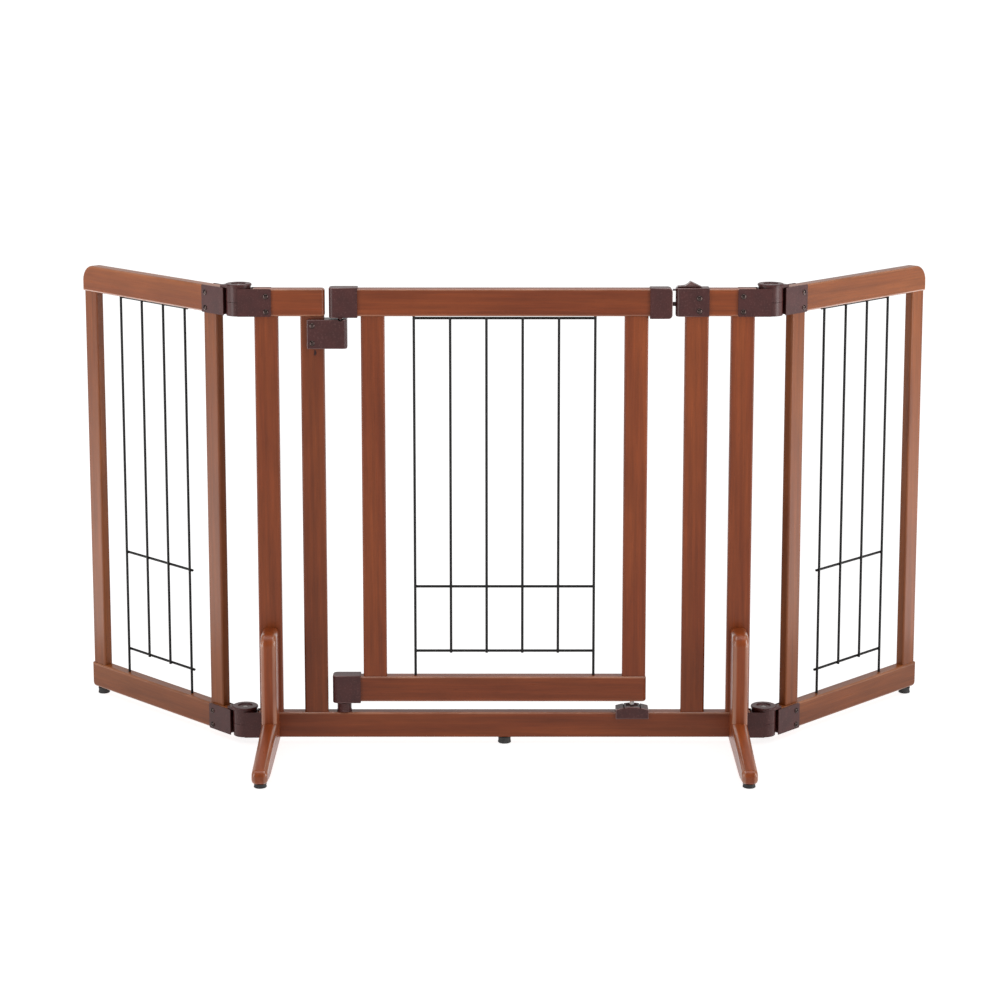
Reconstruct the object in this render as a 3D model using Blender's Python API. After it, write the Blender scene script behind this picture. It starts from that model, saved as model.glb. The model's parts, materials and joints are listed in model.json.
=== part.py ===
"""Freestanding folding pet gate: a wooden centre frame with a swinging door, and two folding wings.

Metres, +Z up. X runs along the gate, -Y is its front, and the origin is under the centre foot.
"""
import math

import bmesh
import bpy
from mathutils import Vector

# ---- overall sizes ----
GATE_HEIGHT = 0.700            # floor to the top of the rails
HINGE_X = 0.3957               # centre line to each wing's hinge axis
WING_LENGTH = 0.3738           # hinge axis to the wing's outer end
WING_FOLD = math.radians(46)   # how far back each wing stands at rest

# ---- rails and posts ----
RAIL_THICKNESS = 0.020
TOP_RAIL_HEIGHT = 0.0415
BOTTOM_RAIL_HEIGHT = 0.0395
RAIL_ROUND = 0.003
POST_WIDTH = 0.0355
POST_THICKNESS = 0.0145
POST_ROUND = 0.0025
WING_POST_WIDTH = 0.0315
WING_CORNER_RADIUS = 0.025     # outer upper corner of a wing
WING_TOE_RADIUS = 0.007        # outer lower corner of a wing
FLOOR_CLEARANCE = 0.0103       # floor to the underside of the bottom rails
OUTER_POST_TO_HINGE = 0.0417
DOORWAY_HALF = 0.2679          # centre line to the inner face of each inner post
WING_INNER_POST = 0.0501       # hinge axis to the middle of the wing's inner post

# ---- door ----
DOOR_HALF_WIDTH = 0.21385      # centre line to the outer face of each door post
DOOR_BOTTOM_GAP = 0.0167       # bottom rail's top to the door's underside
DOOR_PIVOT_OFFSET = 0.0243     # inner post's face to the pivot axis
PIVOT_PIN_RADIUS = 0.004
PIVOT_BLOCK_REACH = 0.0172     # pivot axis to the block's outer end
PIVOT_BLOCK_CORNER = 0.0075
PIVOT_BLOCK_DEPTH = 0.0248     # each block's depth where it meets its rail
PIVOT_BLOCK_GAP = 0.0045       # a block's end to the outer face of the door's post
PIVOT_BLOCK_OVERLAP = 0.010    # how far a rail's end goes into its block or cap
PIVOT_BLOCK_WALL = 0.0018      # above and below the rail
PIVOT_BORE_SHARE = 0.75        # how far up a block its bore goes
PIVOT_PIN_REACH = 0.026        # upper pin above its bracket, and lower spigot above its stud
UPPER_PIVOT_GAP = 0.0026       # fixed bracket's top to the door block's underside
PIVOT_BRACKET_HEIGHT = 0.0437
PIVOT_BRACKET_DEPTH = 0.0266
PIVOT_BRACKET_LAP = 0.0075     # bracket's plate past the middle of the inner post
PIVOT_BRACKET_NOSE = 0.0096    # bracket's end past the pivot axis
PIVOT_BRACKET_CORNER = 0.006
BRACKET_BORE_DEPTH = 0.024
BRACKET_SCREW_INSETS = (0.0089, 0.0352)   # screws below the bracket's top
CAM_HALF_WIDTH = 0.0048
CAM_TIP_GAP = 0.0006           # cam ridge to the bracket's top
CAM_GROOVE_DEPTH = 0.0026
LOWER_STUD_RADIUS = 0.01135

# ---- wires ----
WIRE_RADIUS = 0.002
WIRE_PITCH = 0.0540
DOOR_WIRES = 6
WING_WIRES = 4
WING_WIRE_PITCH = 0.0545
TOP_WIRE_DROP = 0.0042         # door's top rail to the middle of its top cross wire
WING_TOP_WIRE_DROP = 0.0024
DOOR_CROSS_HEIGHTS = (0.2437, 0.1432)
WING_CROSS_HEIGHTS = (0.2463, 0.0876)
WELD_SINK = 0.0006             # how deep crossing wires melt into each other
WIRE_HOLE_DEPTH = 0.008
CROSS_OVERHANG = 0.003         # wing cross wires run this far past the wire by the hinge

# ---- hinges ----
HINGE_RADIUS = 0.0184
HINGE_DISC_RADIUS = 0.0197
HINGE_DISC_RISE = 0.006        # the wing knuckle's disc above the rails
HINGE_DISC_THICKNESS = 0.0035
HINGE_RECESS_RADIUS = 0.0114
HINGE_RECESS_DEPTH = 0.0016
WEB_FOOT = 0.0016              # how far the bridge to the disc runs down the wing leaf's end wall
BRACKET_WALL = 0.0015
HINGE_CLEARANCE = 0.0005       # between a knuckle and the other leaf
KNUCKLE_GAP = 0.0005
HINGE_PIN_RADIUS = 0.004
PIN_CLEARANCE = 0.0003
FRAME_LEAF_REACH = 0.0496      # hinge axis to the end of the frame's bracket
WING_LEAF_REACH = 0.0640
WING_PLATE_START = 0.0120      # hinge axis to the near edge of the wing leaf's front plate

# ---- support legs and feet ----
LEG_REACH = 0.2248             # middle of the gate to the toe's end
LEG_WIDTH = 0.0238
LEG_TOP = 0.182
LEG_FACE = 0.0554              # middle of the gate to the upright's outer face
LEG_CREASE_HEIGHT = 0.0456
LEG_TOE_HEIGHT = 0.0285
LEG_LAP = 0.012                # depth of the halving joint in the bottom rail
LEG_ROUND = 0.006
LEG_CROWN_RADIUS = 0.018
LEG_TOE_RADIUS = 0.009
LEG_TOE_TURN = 80              # degrees from level to the slope of the toe's top
FOOT_PAD_HEIGHT = 0.0070
FOOT_PAD_RADIUS = 0.0095
FOOT_PAD_INSET = 0.0155
CENTRE_FOOT_RADIUS = 0.010
WING_FOOT_RADIUS = 0.0093

# ---- latch ----
CAP_GAP = 0.0020               # outer face of the door's post to the start of its end cap
CAP_LENGTH = 0.0332            # the door's end cap along the rail
CAP_WALL = 0.0022
CAP_DROP = 0.0034              # cap below the rail
CAP_CORNER = 0.006
KEEPER_DEPTH = 0.006
LATCH_GAP = 0.0050             # door cap to latch housing
HOUSING_LENGTH = 0.0493
HOUSING_DEPTH = 0.0250
HOUSING_TOP_WALL = 0.0011
HOUSING_BACK_WALL = 0.002
HOUSING_CORNER = 0.007
LATCH_TRAVEL = 0.010
LATCH_NOSE_GAP = 0.0006        # latch bolt's end to the door cap
BOLT_SIZE = 0.006
BOLT_DROP = 0.0238             # rail top to the bolt's middle
BOLT_BODY = 0.0155             # bolt's length from its nose to its shoulder
STEM_LENGTH = 0.0065
STEM_THICKNESS = 0.005
SLIDE_CLEARANCE = 0.0004
TONGUE_THICKNESS = 0.0020
TONGUE_DROP = 0.0015           # rail top to the tongue's top
TONGUE_WIDTH = 0.009
THUMB_INSET = 0.003            # housing's end to the thumb rest's end
THUMB_LENGTH = 0.0362
THUMB_WIDTH = 0.0140
THUMB_FLAT = 0.0085            # level part before the rise
THUMB_RUN = 0.0106             # rise up to the peak
THUMB_EDGE = 0.0020
THUMB_PEAK = 0.0086
THUMB_HOLLOW = 1.7             # 1 would be a straight rise
THUMB_BACK_SHIFT = 0.0030      # the thumb rest stands this far behind the bolt
SPRING_RADIUS = 0.0022
SPRING_WIRE = 0.0004
SPRING_TURNS = 4

# ---- lower catch ----
CATCH_INSET = 0.0020           # middle of the door's post to the middle of the catch
CATCH_LENGTH = 0.0500
CATCH_DEPTH = 0.0262
CATCH_EDGE = 0.0045            # above the bottom rail at its ends
CATCH_RISE = 0.0088            # above the bottom rail in the middle
CATCH_SKIRT = 0.010
CATCH_VALLEY = 0.0025
CATCH_VALLEY_HALF = 0.008
CATCH_VALLEY_LENGTH = 0.018
CATCH_PIN_RADIUS = 0.0032
CATCH_PIN_CLEARANCE = 0.0006

SCREW_HEAD_RADIUS = 0.0036
SCREW_HEAD_HEIGHT = 0.0018

FIT_GAP = 0.0003               # between pieces that touch
RIM_CHAMFER = 0.001            # small broken edges on feet, pins and mouldings
RAIL_OVERHANG = 0.0011         # a rail's end past its post's face
ROUND_SIDES = 32
SMALL_SIDES = 16
WIRE_SIDES = 8
ROUND_STEPS = 2                # steps round a rounded wooden edge
CORNER_STEPS = 4               # steps round a corner of a plastic part
CROWN_STEPS = 5
WING_CORNER_STEPS = 8
CATCH_STEPS = 12
SPRING_STEPS = 12              # for each turn
SHARP_ANGLE = math.radians(32) # edges sharper than this stay sharp
OVERCUT = 0.001                # how far a cutter runs past the face it opens
NUDGE = 1e-5                   # keeps two faces of a weld from lying in one plane

# ---- worked-out places ----
HALF_RAIL = RAIL_THICKNESS / 2
RAIL_BOTTOM = FLOOR_CLEARANCE
RAIL_TOP = FLOOR_CLEARANCE + BOTTOM_RAIL_HEIGHT
HEAD_BOTTOM = GATE_HEIGHT - TOP_RAIL_HEIGHT
DOOR_SILL_BOTTOM = RAIL_TOP + DOOR_BOTTOM_GAP
DOOR_SILL_TOP = DOOR_SILL_BOTTOM + BOTTOM_RAIL_HEIGHT
OUTER_POST_X = HINGE_X - OUTER_POST_TO_HINGE
INNER_POST_X = DOORWAY_HALF + POST_WIDTH / 2
DOOR_POST_X = DOOR_HALF_WIDTH - POST_WIDTH / 2
PIVOT_X = -DOORWAY_HALF + DOOR_PIVOT_OFFSET
LEAF_FACE = HALF_RAIL + FIT_GAP + BRACKET_WALL
HINGE_Y = HINGE_RADIUS - HALF_RAIL
LEAF_START = HINGE_RADIUS + HINGE_CLEARANCE
RAIL_INSET = LEAF_START + BRACKET_WALL + FIT_GAP
WING_OUTER_POST = WING_LENGTH - WING_POST_WIDTH / 2 - RAIL_OVERHANG
BLOCK_END = -DOOR_HALF_WIDTH - PIVOT_BLOCK_GAP
CAP_START = DOOR_HALF_WIDTH + CAP_GAP
CAP_END = CAP_START + CAP_LENGTH
HOUSING_START = CAP_END + LATCH_GAP
HOUSING_END = HOUSING_START + HOUSING_LENGTH
HOUSING_TOP = GATE_HEIGHT + HOUSING_TOP_WALL
HOUSING_RAIL_START = INNER_POST_X - RAIL_OVERHANG
HOUSING_CAVITY_END = HOUSING_RAIL_START - HOUSING_BACK_WALL
BOLT_Z = GATE_HEIGHT - BOLT_DROP
BOLT_NOSE = CAP_END + LATCH_NOSE_GAP
BOLT_SHOULDER = BOLT_NOSE + BOLT_BODY
TONGUE_TOP = GATE_HEIGHT - TONGUE_DROP
CATCH_X = DOOR_POST_X - CATCH_INSET


def clear_scene():
    for thing in list(bpy.data.objects):
        bpy.data.objects.remove(thing, do_unlink=True)


def make_material(name, colour, roughness, metallic=0.0):
    material = bpy.data.materials.new(name)
    material.use_nodes = True
    shader = material.node_tree.nodes["Principled BSDF"]
    shader.inputs["Base Color"].default_value = (*colour, 1.0)
    shader.inputs["Roughness"].default_value = roughness
    shader.inputs["Metallic"].default_value = metallic
    return material


clear_scene()
WOOD = make_material("stained_wood", (0.235, 0.062, 0.028), 0.38)
PLASTIC = make_material("maroon_plastic", (0.090, 0.028, 0.026), 0.42)
WIRE = make_material("black_wire", (0.012, 0.011, 0.011), 0.35, 0.4)
RUBBER = make_material("black_rubber", (0.015, 0.014, 0.014), 0.8)
STEEL = make_material("zinc_steel", (0.55, 0.54, 0.52), 0.3, 1.0)
NYLON = make_material("white_nylon", (0.62, 0.58, 0.55), 0.45)


def make_holder(name, location, turn=0.0):
    holder = bpy.data.objects.new(name, None)
    holder.empty_display_size = 0.03
    holder.location = location
    holder.rotation_euler = (0.0, 0.0, turn)
    bpy.context.scene.collection.objects.link(holder)
    return holder


FRAME = make_holder("centre_frame", (0.0, 0.0, 0.0))
DOOR = make_holder("door_pivot_axis", (PIVOT_X, 0.0, 0.0))
LATCH = make_holder("latch_slide_axis", (HOUSING_START, 0.0, BOLT_Z))
WINGS = {
    -1: make_holder("left_hinge_axis", (-HINGE_X, HINGE_Y, 0.0), -WING_FOLD),
    1: make_holder("right_hinge_axis", (HINGE_X, HINGE_Y, 0.0), WING_FOLD),
}


def finish(name, shape, material, holder, smooth=True):
    """Turn a bmesh drawn in the unfolded gate's own coordinates into a named object on its holder."""
    bmesh.ops.translate(shape, verts=shape.verts, vec=-holder.location)
    bmesh.ops.recalc_face_normals(shape, faces=shape.faces)
    mesh = bpy.data.meshes.new(name)
    shape.to_mesh(mesh)
    shape.free()
    if smooth:
        mesh.shade_smooth()
        mesh.set_sharp_from_angle(angle=SHARP_ANGLE)
    mesh.materials.append(material)
    thing = bpy.data.objects.new(name, mesh)
    thing.parent = holder
    bpy.context.scene.collection.objects.link(thing)
    return thing


def combine(target, tool, operation):
    """Cut a hidden tool object out of the target, or weld it on."""
    tool.name = target.name + "_" + operation.lower() + "_tool"
    tool.hide_render = True
    tool.display_type = "WIRE"
    step = target.modifiers.new(operation.lower(), "BOOLEAN")
    step.operation = operation
    step.solver = "EXACT"
    step.object = tool
    return target


# ---- shapes ----
def box_shape(low, high):
    shape = bmesh.new()
    bmesh.ops.create_cube(shape, size=1.0)
    size = Vector(high) - Vector(low)
    bmesh.ops.scale(shape, verts=shape.verts, vec=size)
    bmesh.ops.translate(shape, verts=shape.verts, vec=(Vector(low) + Vector(high)) / 2)
    return shape


def rounded_box_shape(low, high, radius):
    shape = box_shape(low, high)
    bmesh.ops.bevel(shape, geom=list(shape.edges), offset=radius, segments=ROUND_STEPS, profile=0.5,
                    affect="EDGES")
    return shape


def arc(centre, radius, start, end, steps):
    """Points on an arc, angles in degrees."""
    points = []
    for step in range(steps + 1):
        angle = math.radians(start + (end - start) * step / steps)
        points.append((centre[0] + radius * math.cos(angle), centre[1] + radius * math.sin(angle)))
    return points


def prism_shape(outline, axis, low, high, round_radius=0.0, round_steps=1):
    """Extrude an outline along X, Y or Z. The outline's two numbers are the other two axes in order."""
    slots = {"X": (1, 2, 0), "Y": (0, 2, 1), "Z": (0, 1, 2)}[axis]
    shape = bmesh.new()
    bottom = []
    for u, v in outline:
        place = [0.0, 0.0, 0.0]
        place[slots[0]] = u
        place[slots[1]] = v
        place[slots[2]] = low
        bottom.append(shape.verts.new(place))
    face = shape.faces.new(bottom)
    extruded = bmesh.ops.extrude_face_region(shape, geom=[face])
    top = [item for item in extruded["geom"] if isinstance(item, bmesh.types.BMVert)]
    offset = [0.0, 0.0, 0.0]
    offset[slots[2]] = high - low
    bmesh.ops.translate(shape, verts=top, vec=offset)
    if round_radius > 0.0:
        rims = [edge for edge in shape.edges
                if abs(edge.verts[0].co[slots[2]] - edge.verts[1].co[slots[2]]) < 1e-7]
        bmesh.ops.bevel(shape, geom=rims, offset=round_radius, segments=round_steps, profile=0.5,
                        affect="EDGES", clamp_overlap=True)
    return shape


def cylinder_shape(x, y, low, high, radius, sides=ROUND_SIDES, chamfer=0.0):
    shape = bmesh.new()
    bmesh.ops.create_cone(shape, cap_ends=True, segments=sides, radius1=radius, radius2=radius,
                          depth=high - low)
    bmesh.ops.translate(shape, verts=shape.verts, vec=(x, y, (low + high) / 2))
    if chamfer > 0.0:
        rims = [edge for edge in shape.edges if abs(edge.verts[0].co.z - edge.verts[1].co.z) < 1e-7]
        bmesh.ops.bevel(shape, geom=rims, offset=chamfer, segments=1, affect="EDGES")
    return shape


def joined(shapes):
    """Put several shapes into one bmesh."""
    whole = bmesh.new()
    for shape in shapes:
        temp = bpy.data.meshes.new("temp")
        shape.to_mesh(temp)
        shape.free()
        whole.from_mesh(temp)
        bpy.data.meshes.remove(temp)
    return whole


def straight_wire(start, end):
    shape = bmesh.new()
    start = Vector(start)
    end = Vector(end)
    bmesh.ops.create_cone(shape, cap_ends=True, segments=WIRE_SIDES, radius1=WIRE_RADIUS,
                          radius2=WIRE_RADIUS, depth=(end - start).length)
    turn = Vector((0.0, 0.0, 1.0)).rotation_difference(end - start)
    bmesh.ops.rotate(shape, verts=shape.verts, cent=(0.0, 0.0, 0.0), matrix=turn.to_matrix())
    bmesh.ops.translate(shape, verts=shape.verts, vec=(start + end) / 2)
    return shape


# ---- wood ----
def make_rail(name, x_low, x_high, z_low, z_high, holder):
    low = (x_low, -HALF_RAIL, z_low)
    high = (x_high, HALF_RAIL, z_high)
    return finish(name, rounded_box_shape(low, high, RAIL_ROUND), WOOD, holder)


def make_post(name, x, width, z_low, z_high, holder):
    low = (x - width / 2, -POST_THICKNESS / 2, z_low + FIT_GAP)
    high = (x + width / 2, POST_THICKNESS / 2, z_high - FIT_GAP)
    return finish(name, rounded_box_shape(low, high, POST_ROUND), WOOD, holder)


def drill_wire_holes(rail, places, face_z, direction, holder):
    """Drill blind holes into a rail's face where the outer wires end. direction is +1 upwards."""
    radius = WIRE_RADIUS + FIT_GAP
    drills = []
    for x in places:
        ends = sorted((face_z - direction * OVERCUT, face_z + direction * (WIRE_HOLE_DEPTH + FIT_GAP)))
        drills.append(cylinder_shape(x, 0.0, ends[0], ends[1], radius, WIRE_SIDES))
    tool = finish(rail.name + "_holes", joined(drills), WOOD, holder, smooth=False)
    combine(rail, tool, "DIFFERENCE")


def make_grille(name, places, cross_heights, sill, head, top_drop, cross_span, holder):
    """Welded wires: the two outermost uprights reach into the rails, and the others stop at a cross wire."""
    top_cross = head - top_drop
    uprights = []
    for x in places:
        outermost = x in (min(places), max(places))
        low = sill - WIRE_HOLE_DEPTH if outermost else min(cross_heights) - WIRE_RADIUS
        high = head + WIRE_HOLE_DEPTH if outermost else top_cross + WIRE_RADIUS
        uprights.append(straight_wire((x, 0.0, low), (x, 0.0, high)))
    cross_y = 2 * WIRE_RADIUS - WELD_SINK
    crosses = []
    for z in (top_cross, *cross_heights):
        crosses.append(straight_wire((cross_span[0], cross_y, z), (cross_span[1], cross_y, z)))
    grille = finish(name, joined(uprights), WIRE, holder)
    tool = finish(name + "_cross_wires", joined(crosses), WIRE, holder)
    return combine(grille, tool, "UNION")


# ---- centre frame ----
def make_centre_frame():
    rail_end = HINGE_X - RAIL_INSET
    sill = make_rail("centre_bottom_rail", -rail_end, rail_end, RAIL_BOTTOM, RAIL_TOP, FRAME)
    notches = []
    for side in (-1, 1):
        x = side * OUTER_POST_X
        half = LEG_WIDTH / 2 + FIT_GAP
        notches.append(box_shape((x - half, -HALF_RAIL - OVERCUT, RAIL_BOTTOM - OVERCUT),
                                 (x + half, HALF_RAIL + OVERCUT, RAIL_BOTTOM + LEG_LAP)))
    tool = finish("sill_notches", joined(notches), WOOD, FRAME, smooth=False)
    combine(sill, tool, "DIFFERENCE")

    make_rail("left_top_rail", -rail_end, -DOORWAY_HALF + RAIL_OVERHANG, HEAD_BOTTOM, GATE_HEIGHT, FRAME)
    make_rail("right_top_rail", HOUSING_RAIL_START, rail_end, HEAD_BOTTOM, GATE_HEIGHT, FRAME)
    for side, word in ((-1, "left"), (1, "right")):
        make_post(word + "_outer_post", side * OUTER_POST_X, POST_WIDTH, RAIL_TOP, HEAD_BOTTOM, FRAME)
        make_post(word + "_inner_post", side * INNER_POST_X, POST_WIDTH, RAIL_TOP, HEAD_BOTTOM, FRAME)
    foot = cylinder_shape(0.0, 0.0, 0.0, FLOOR_CLEARANCE - FIT_GAP, CENTRE_FOOT_RADIUS,
                          SMALL_SIDES, chamfer=RIM_CHAMFER)
    finish("centre_foot", foot, RUBBER, FRAME)


def leg_outline():
    """A leg as seen along the gate, in Y and Z: its toe reaches forwards, and its upright stands
    against the front of the post. A tongue runs back under the rail in the halving joint.
    """
    face = -LEG_FACE
    reach = -LEG_REACH
    slot = -HALF_RAIL - FIT_GAP
    cheek = -POST_THICKNESS / 2 - FIT_GAP
    shoulder = RAIL_TOP + FIT_GAP
    bridge = RAIL_BOTTOM + LEG_LAP - FIT_GAP
    toe_low = (reach + LEG_TOE_RADIUS / 2, FOOT_PAD_HEIGHT + LEG_TOE_RADIUS / 2)
    toe_top = (reach + LEG_TOE_RADIUS, LEG_TOE_HEIGHT - LEG_TOE_RADIUS)
    crown = (face + LEG_CROWN_RADIUS, LEG_TOP - LEG_CROWN_RADIUS)
    points = [(HALF_RAIL, bridge), (HALF_RAIL, FOOT_PAD_HEIGHT)]
    points += arc(toe_low, LEG_TOE_RADIUS / 2, 270, 180, ROUND_STEPS)
    points += arc(toe_top, LEG_TOE_RADIUS, 180, 180 - LEG_TOE_TURN, CORNER_STEPS)
    points.append((face, LEG_CREASE_HEIGHT))
    points += arc(crown, LEG_CROWN_RADIUS, 180, 90, CROWN_STEPS)
    points += [(cheek, LEG_TOP), (cheek, shoulder), (slot, shoulder), (slot, bridge)]
    return points


def make_support_legs():
    slot = -HALF_RAIL - FIT_GAP
    for side, word in ((-1, "left"), (1, "right")):
        x = side * OUTER_POST_X
        shape = prism_shape(leg_outline(), "X", x - LEG_WIDTH / 2, x + LEG_WIDTH / 2)
        rims = [edge for edge in shape.edges
                if abs(edge.verts[0].co.x - edge.verts[1].co.x) < 1e-7
                and all(vert.co.y < slot - FIT_GAP for vert in edge.verts)]
        bmesh.ops.bevel(shape, geom=rims, offset=LEG_ROUND, segments=ROUND_STEPS, profile=0.5, affect="EDGES")
        finish(word + "_support_leg", shape, WOOD, FRAME)
        pad = cylinder_shape(x, FOOT_PAD_INSET - LEG_REACH, 0.0, FOOT_PAD_HEIGHT - FIT_GAP, FOOT_PAD_RADIUS,
                             SMALL_SIDES, chamfer=RIM_CHAMFER)
        finish(word + "_front_foot_pad", pad, RUBBER, FRAME)


# ---- wings ----
def make_wing(side, word):
    holder = WINGS[side]

    def span(near, far):
        """A stretch given from the hinge axis outwards, as low and high X."""
        return sorted((side * (HINGE_X + near), side * (HINGE_X + far)))

    corner = (WING_LENGTH - WING_CORNER_RADIUS, GATE_HEIGHT - WING_CORNER_RADIUS)
    outline = [(RAIL_INSET, HEAD_BOTTOM), (WING_LENGTH, HEAD_BOTTOM)]
    outline += arc(corner, WING_CORNER_RADIUS, 0, 90, WING_CORNER_STEPS)
    outline.append((RAIL_INSET, GATE_HEIGHT))
    top = prism_shape([(side * (HINGE_X + s), z) for s, z in outline], "Y",
                      -HALF_RAIL, HALF_RAIL, RAIL_ROUND, ROUND_STEPS)
    top_rail = finish(word + "_wing_top_rail", top, WOOD, holder)
    toe = (WING_LENGTH - WING_TOE_RADIUS, RAIL_BOTTOM + WING_TOE_RADIUS)
    outline = [(RAIL_INSET, RAIL_TOP), (RAIL_INSET, RAIL_BOTTOM)]
    outline += arc(toe, WING_TOE_RADIUS, -90, 0, CORNER_STEPS)
    outline.append((WING_LENGTH, RAIL_TOP))
    low = prism_shape([(side * (HINGE_X + s), z) for s, z in outline], "Y",
                      -HALF_RAIL, HALF_RAIL, RAIL_ROUND, ROUND_STEPS)
    bottom_rail = finish(word + "_wing_bottom_rail", low, WOOD, holder)

    for place, post in ((WING_INNER_POST, "inner"), (WING_OUTER_POST, "outer")):
        x = side * (HINGE_X + place)
        make_post(f"{word}_wing_{post}_post", x, WING_POST_WIDTH, RAIL_TOP, HEAD_BOTTOM, holder)

    middle = (WING_INNER_POST + WING_OUTER_POST) / 2
    first = middle - (WING_WIRES - 1) * WING_WIRE_PITCH / 2
    places = [side * (HINGE_X + first + i * WING_WIRE_PITCH) for i in range(WING_WIRES)]
    last = first + (WING_WIRES - 1) * WING_WIRE_PITCH
    crosses = span(first - CROSS_OVERHANG, last + WIRE_RADIUS)
    make_grille(word + "_wing_wire_grille", places, WING_CROSS_HEIGHTS, RAIL_TOP, HEAD_BOTTOM,
                WING_TOP_WIRE_DROP, crosses, holder)
    outer_wires = (min(places), max(places))
    drill_wire_holes(top_rail, outer_wires, HEAD_BOTTOM, 1, holder)
    drill_wire_holes(bottom_rail, outer_wires, RAIL_TOP, -1, holder)

    foot = cylinder_shape(side * (HINGE_X + WING_OUTER_POST), 0.0, 0.0, FLOOR_CLEARANCE - FIT_GAP,
                          WING_FOOT_RADIUS, SMALL_SIDES, chamfer=RIM_CHAMFER)
    finish(word + "_wing_foot", foot, RUBBER, holder)


# ---- hinges ----
def make_leaf(name, side, toward, plate_start, reach, z_low, z_high, knuckle_low, knuckle_high, holder):
    """A plastic leaf: a channel over a rail's end, and a knuckle on the hinge axis.

    side picks the left or right hinge, and toward is the X direction that the leaf's rail lies in.
    """
    x = side * HINGE_X

    def span(near, far):
        return sorted((x + toward * near, x + toward * far))

    inner = HALF_RAIL + FIT_GAP
    bottom = RAIL_INSET - FIT_GAP
    channel = [(plate_start, -LEAF_FACE), (reach, -LEAF_FACE), (reach, -inner), (bottom, -inner),
               (bottom, inner), (reach, inner), (reach, LEAF_FACE), (LEAF_START, LEAF_FACE),
               (LEAF_START, -inner), (plate_start, -inner)]
    outline = [(x + toward * s, y) for s, y in channel]
    leaf = finish(name, prism_shape(outline, "Z", z_low, z_high), PLASTIC, holder)
    barrel = cylinder_shape(x, HINGE_Y, knuckle_low, knuckle_high, HINGE_RADIUS)
    combine(leaf, finish(name + "_barrel", barrel, PLASTIC, holder), "UNION")
    near, far = span(0.0, LEAF_START + BRACKET_WALL / 2)
    neck = box_shape((near, HINGE_Y, knuckle_low + NUDGE),
                     (far, LEAF_FACE - NUDGE, min(knuckle_high, z_high) - NUDGE))
    combine(leaf, finish(name + "_neck", neck, PLASTIC, holder), "UNION")
    return leaf


def web_outline(z_high, disc_top):
    """The bridge from a wing leaf's end wall over the frame's leaf to the disc, from the side."""
    underside = z_high + FIT_GAP
    top = disc_top - HINGE_DISC_THICKNESS / 2
    near = LEAF_START + NUDGE
    far = RAIL_INSET - FIT_GAP - NUDGE
    foot = z_high - WEB_FOOT
    return [(0.0, underside), (near, underside), (near, foot), (far, foot), (far, top), (0.0, top)]


def make_hinge(side, word, level, z_low, z_high):
    x = side * HINGE_X
    middle = (z_low + z_high) / 2
    disc_top = z_high + HINGE_DISC_RISE
    # the lower leaf stops short of the support leg that straddles the rail
    reach = FRAME_LEAF_REACH if level == "upper" else OUTER_POST_TO_HINGE - LEG_WIDTH / 2 - FIT_GAP
    frame_leaf = make_leaf(f"{word}_{level}_hinge_frame_leaf", side, -side, 0.0, reach,
                           z_low, z_high, z_low, middle - KNUCKLE_GAP / 2, FRAME)
    wing_leaf = make_leaf(f"{word}_{level}_hinge_wing_leaf", side, side, WING_PLATE_START, WING_LEAF_REACH,
                          z_low, z_high, middle + KNUCKLE_GAP / 2, disc_top, WINGS[side])
    web = prism_shape([(x + side * s, z) for s, z in web_outline(z_high, disc_top)], "Y",
                      -HALF_RAIL, HALF_RAIL)
    disc = cylinder_shape(x, HINGE_Y, disc_top - HINGE_DISC_THICKNESS, disc_top - NUDGE, HINGE_DISC_RADIUS)
    recess = cylinder_shape(x, HINGE_Y, disc_top - HINGE_RECESS_DEPTH, disc_top + OVERCUT,
                            HINGE_RECESS_RADIUS)
    for word_end, shape, operation in (("_web", web, "UNION"), ("_disc", disc, "UNION"),
                                       ("_recess", recess, "DIFFERENCE")):
        combine(wing_leaf, finish(wing_leaf.name + word_end, shape, PLASTIC, WINGS[side]), operation)
    for leaf, holder in ((frame_leaf, FRAME), (wing_leaf, WINGS[side])):
        bore = cylinder_shape(x, HINGE_Y, z_low - OVERCUT, disc_top + OVERCUT,
                              HINGE_PIN_RADIUS + PIN_CLEARANCE, SMALL_SIDES)
        combine(leaf, finish(leaf.name + "_bore", bore, PLASTIC, holder), "DIFFERENCE")
    pin = cylinder_shape(x, HINGE_Y, z_low + RIM_CHAMFER, disc_top - HINGE_RECESS_DEPTH, HINGE_PIN_RADIUS,
                         SMALL_SIDES, chamfer=RIM_CHAMFER / 2)
    finish(f"{word}_{level}_hinge_pin", pin, STEEL, FRAME)


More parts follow.
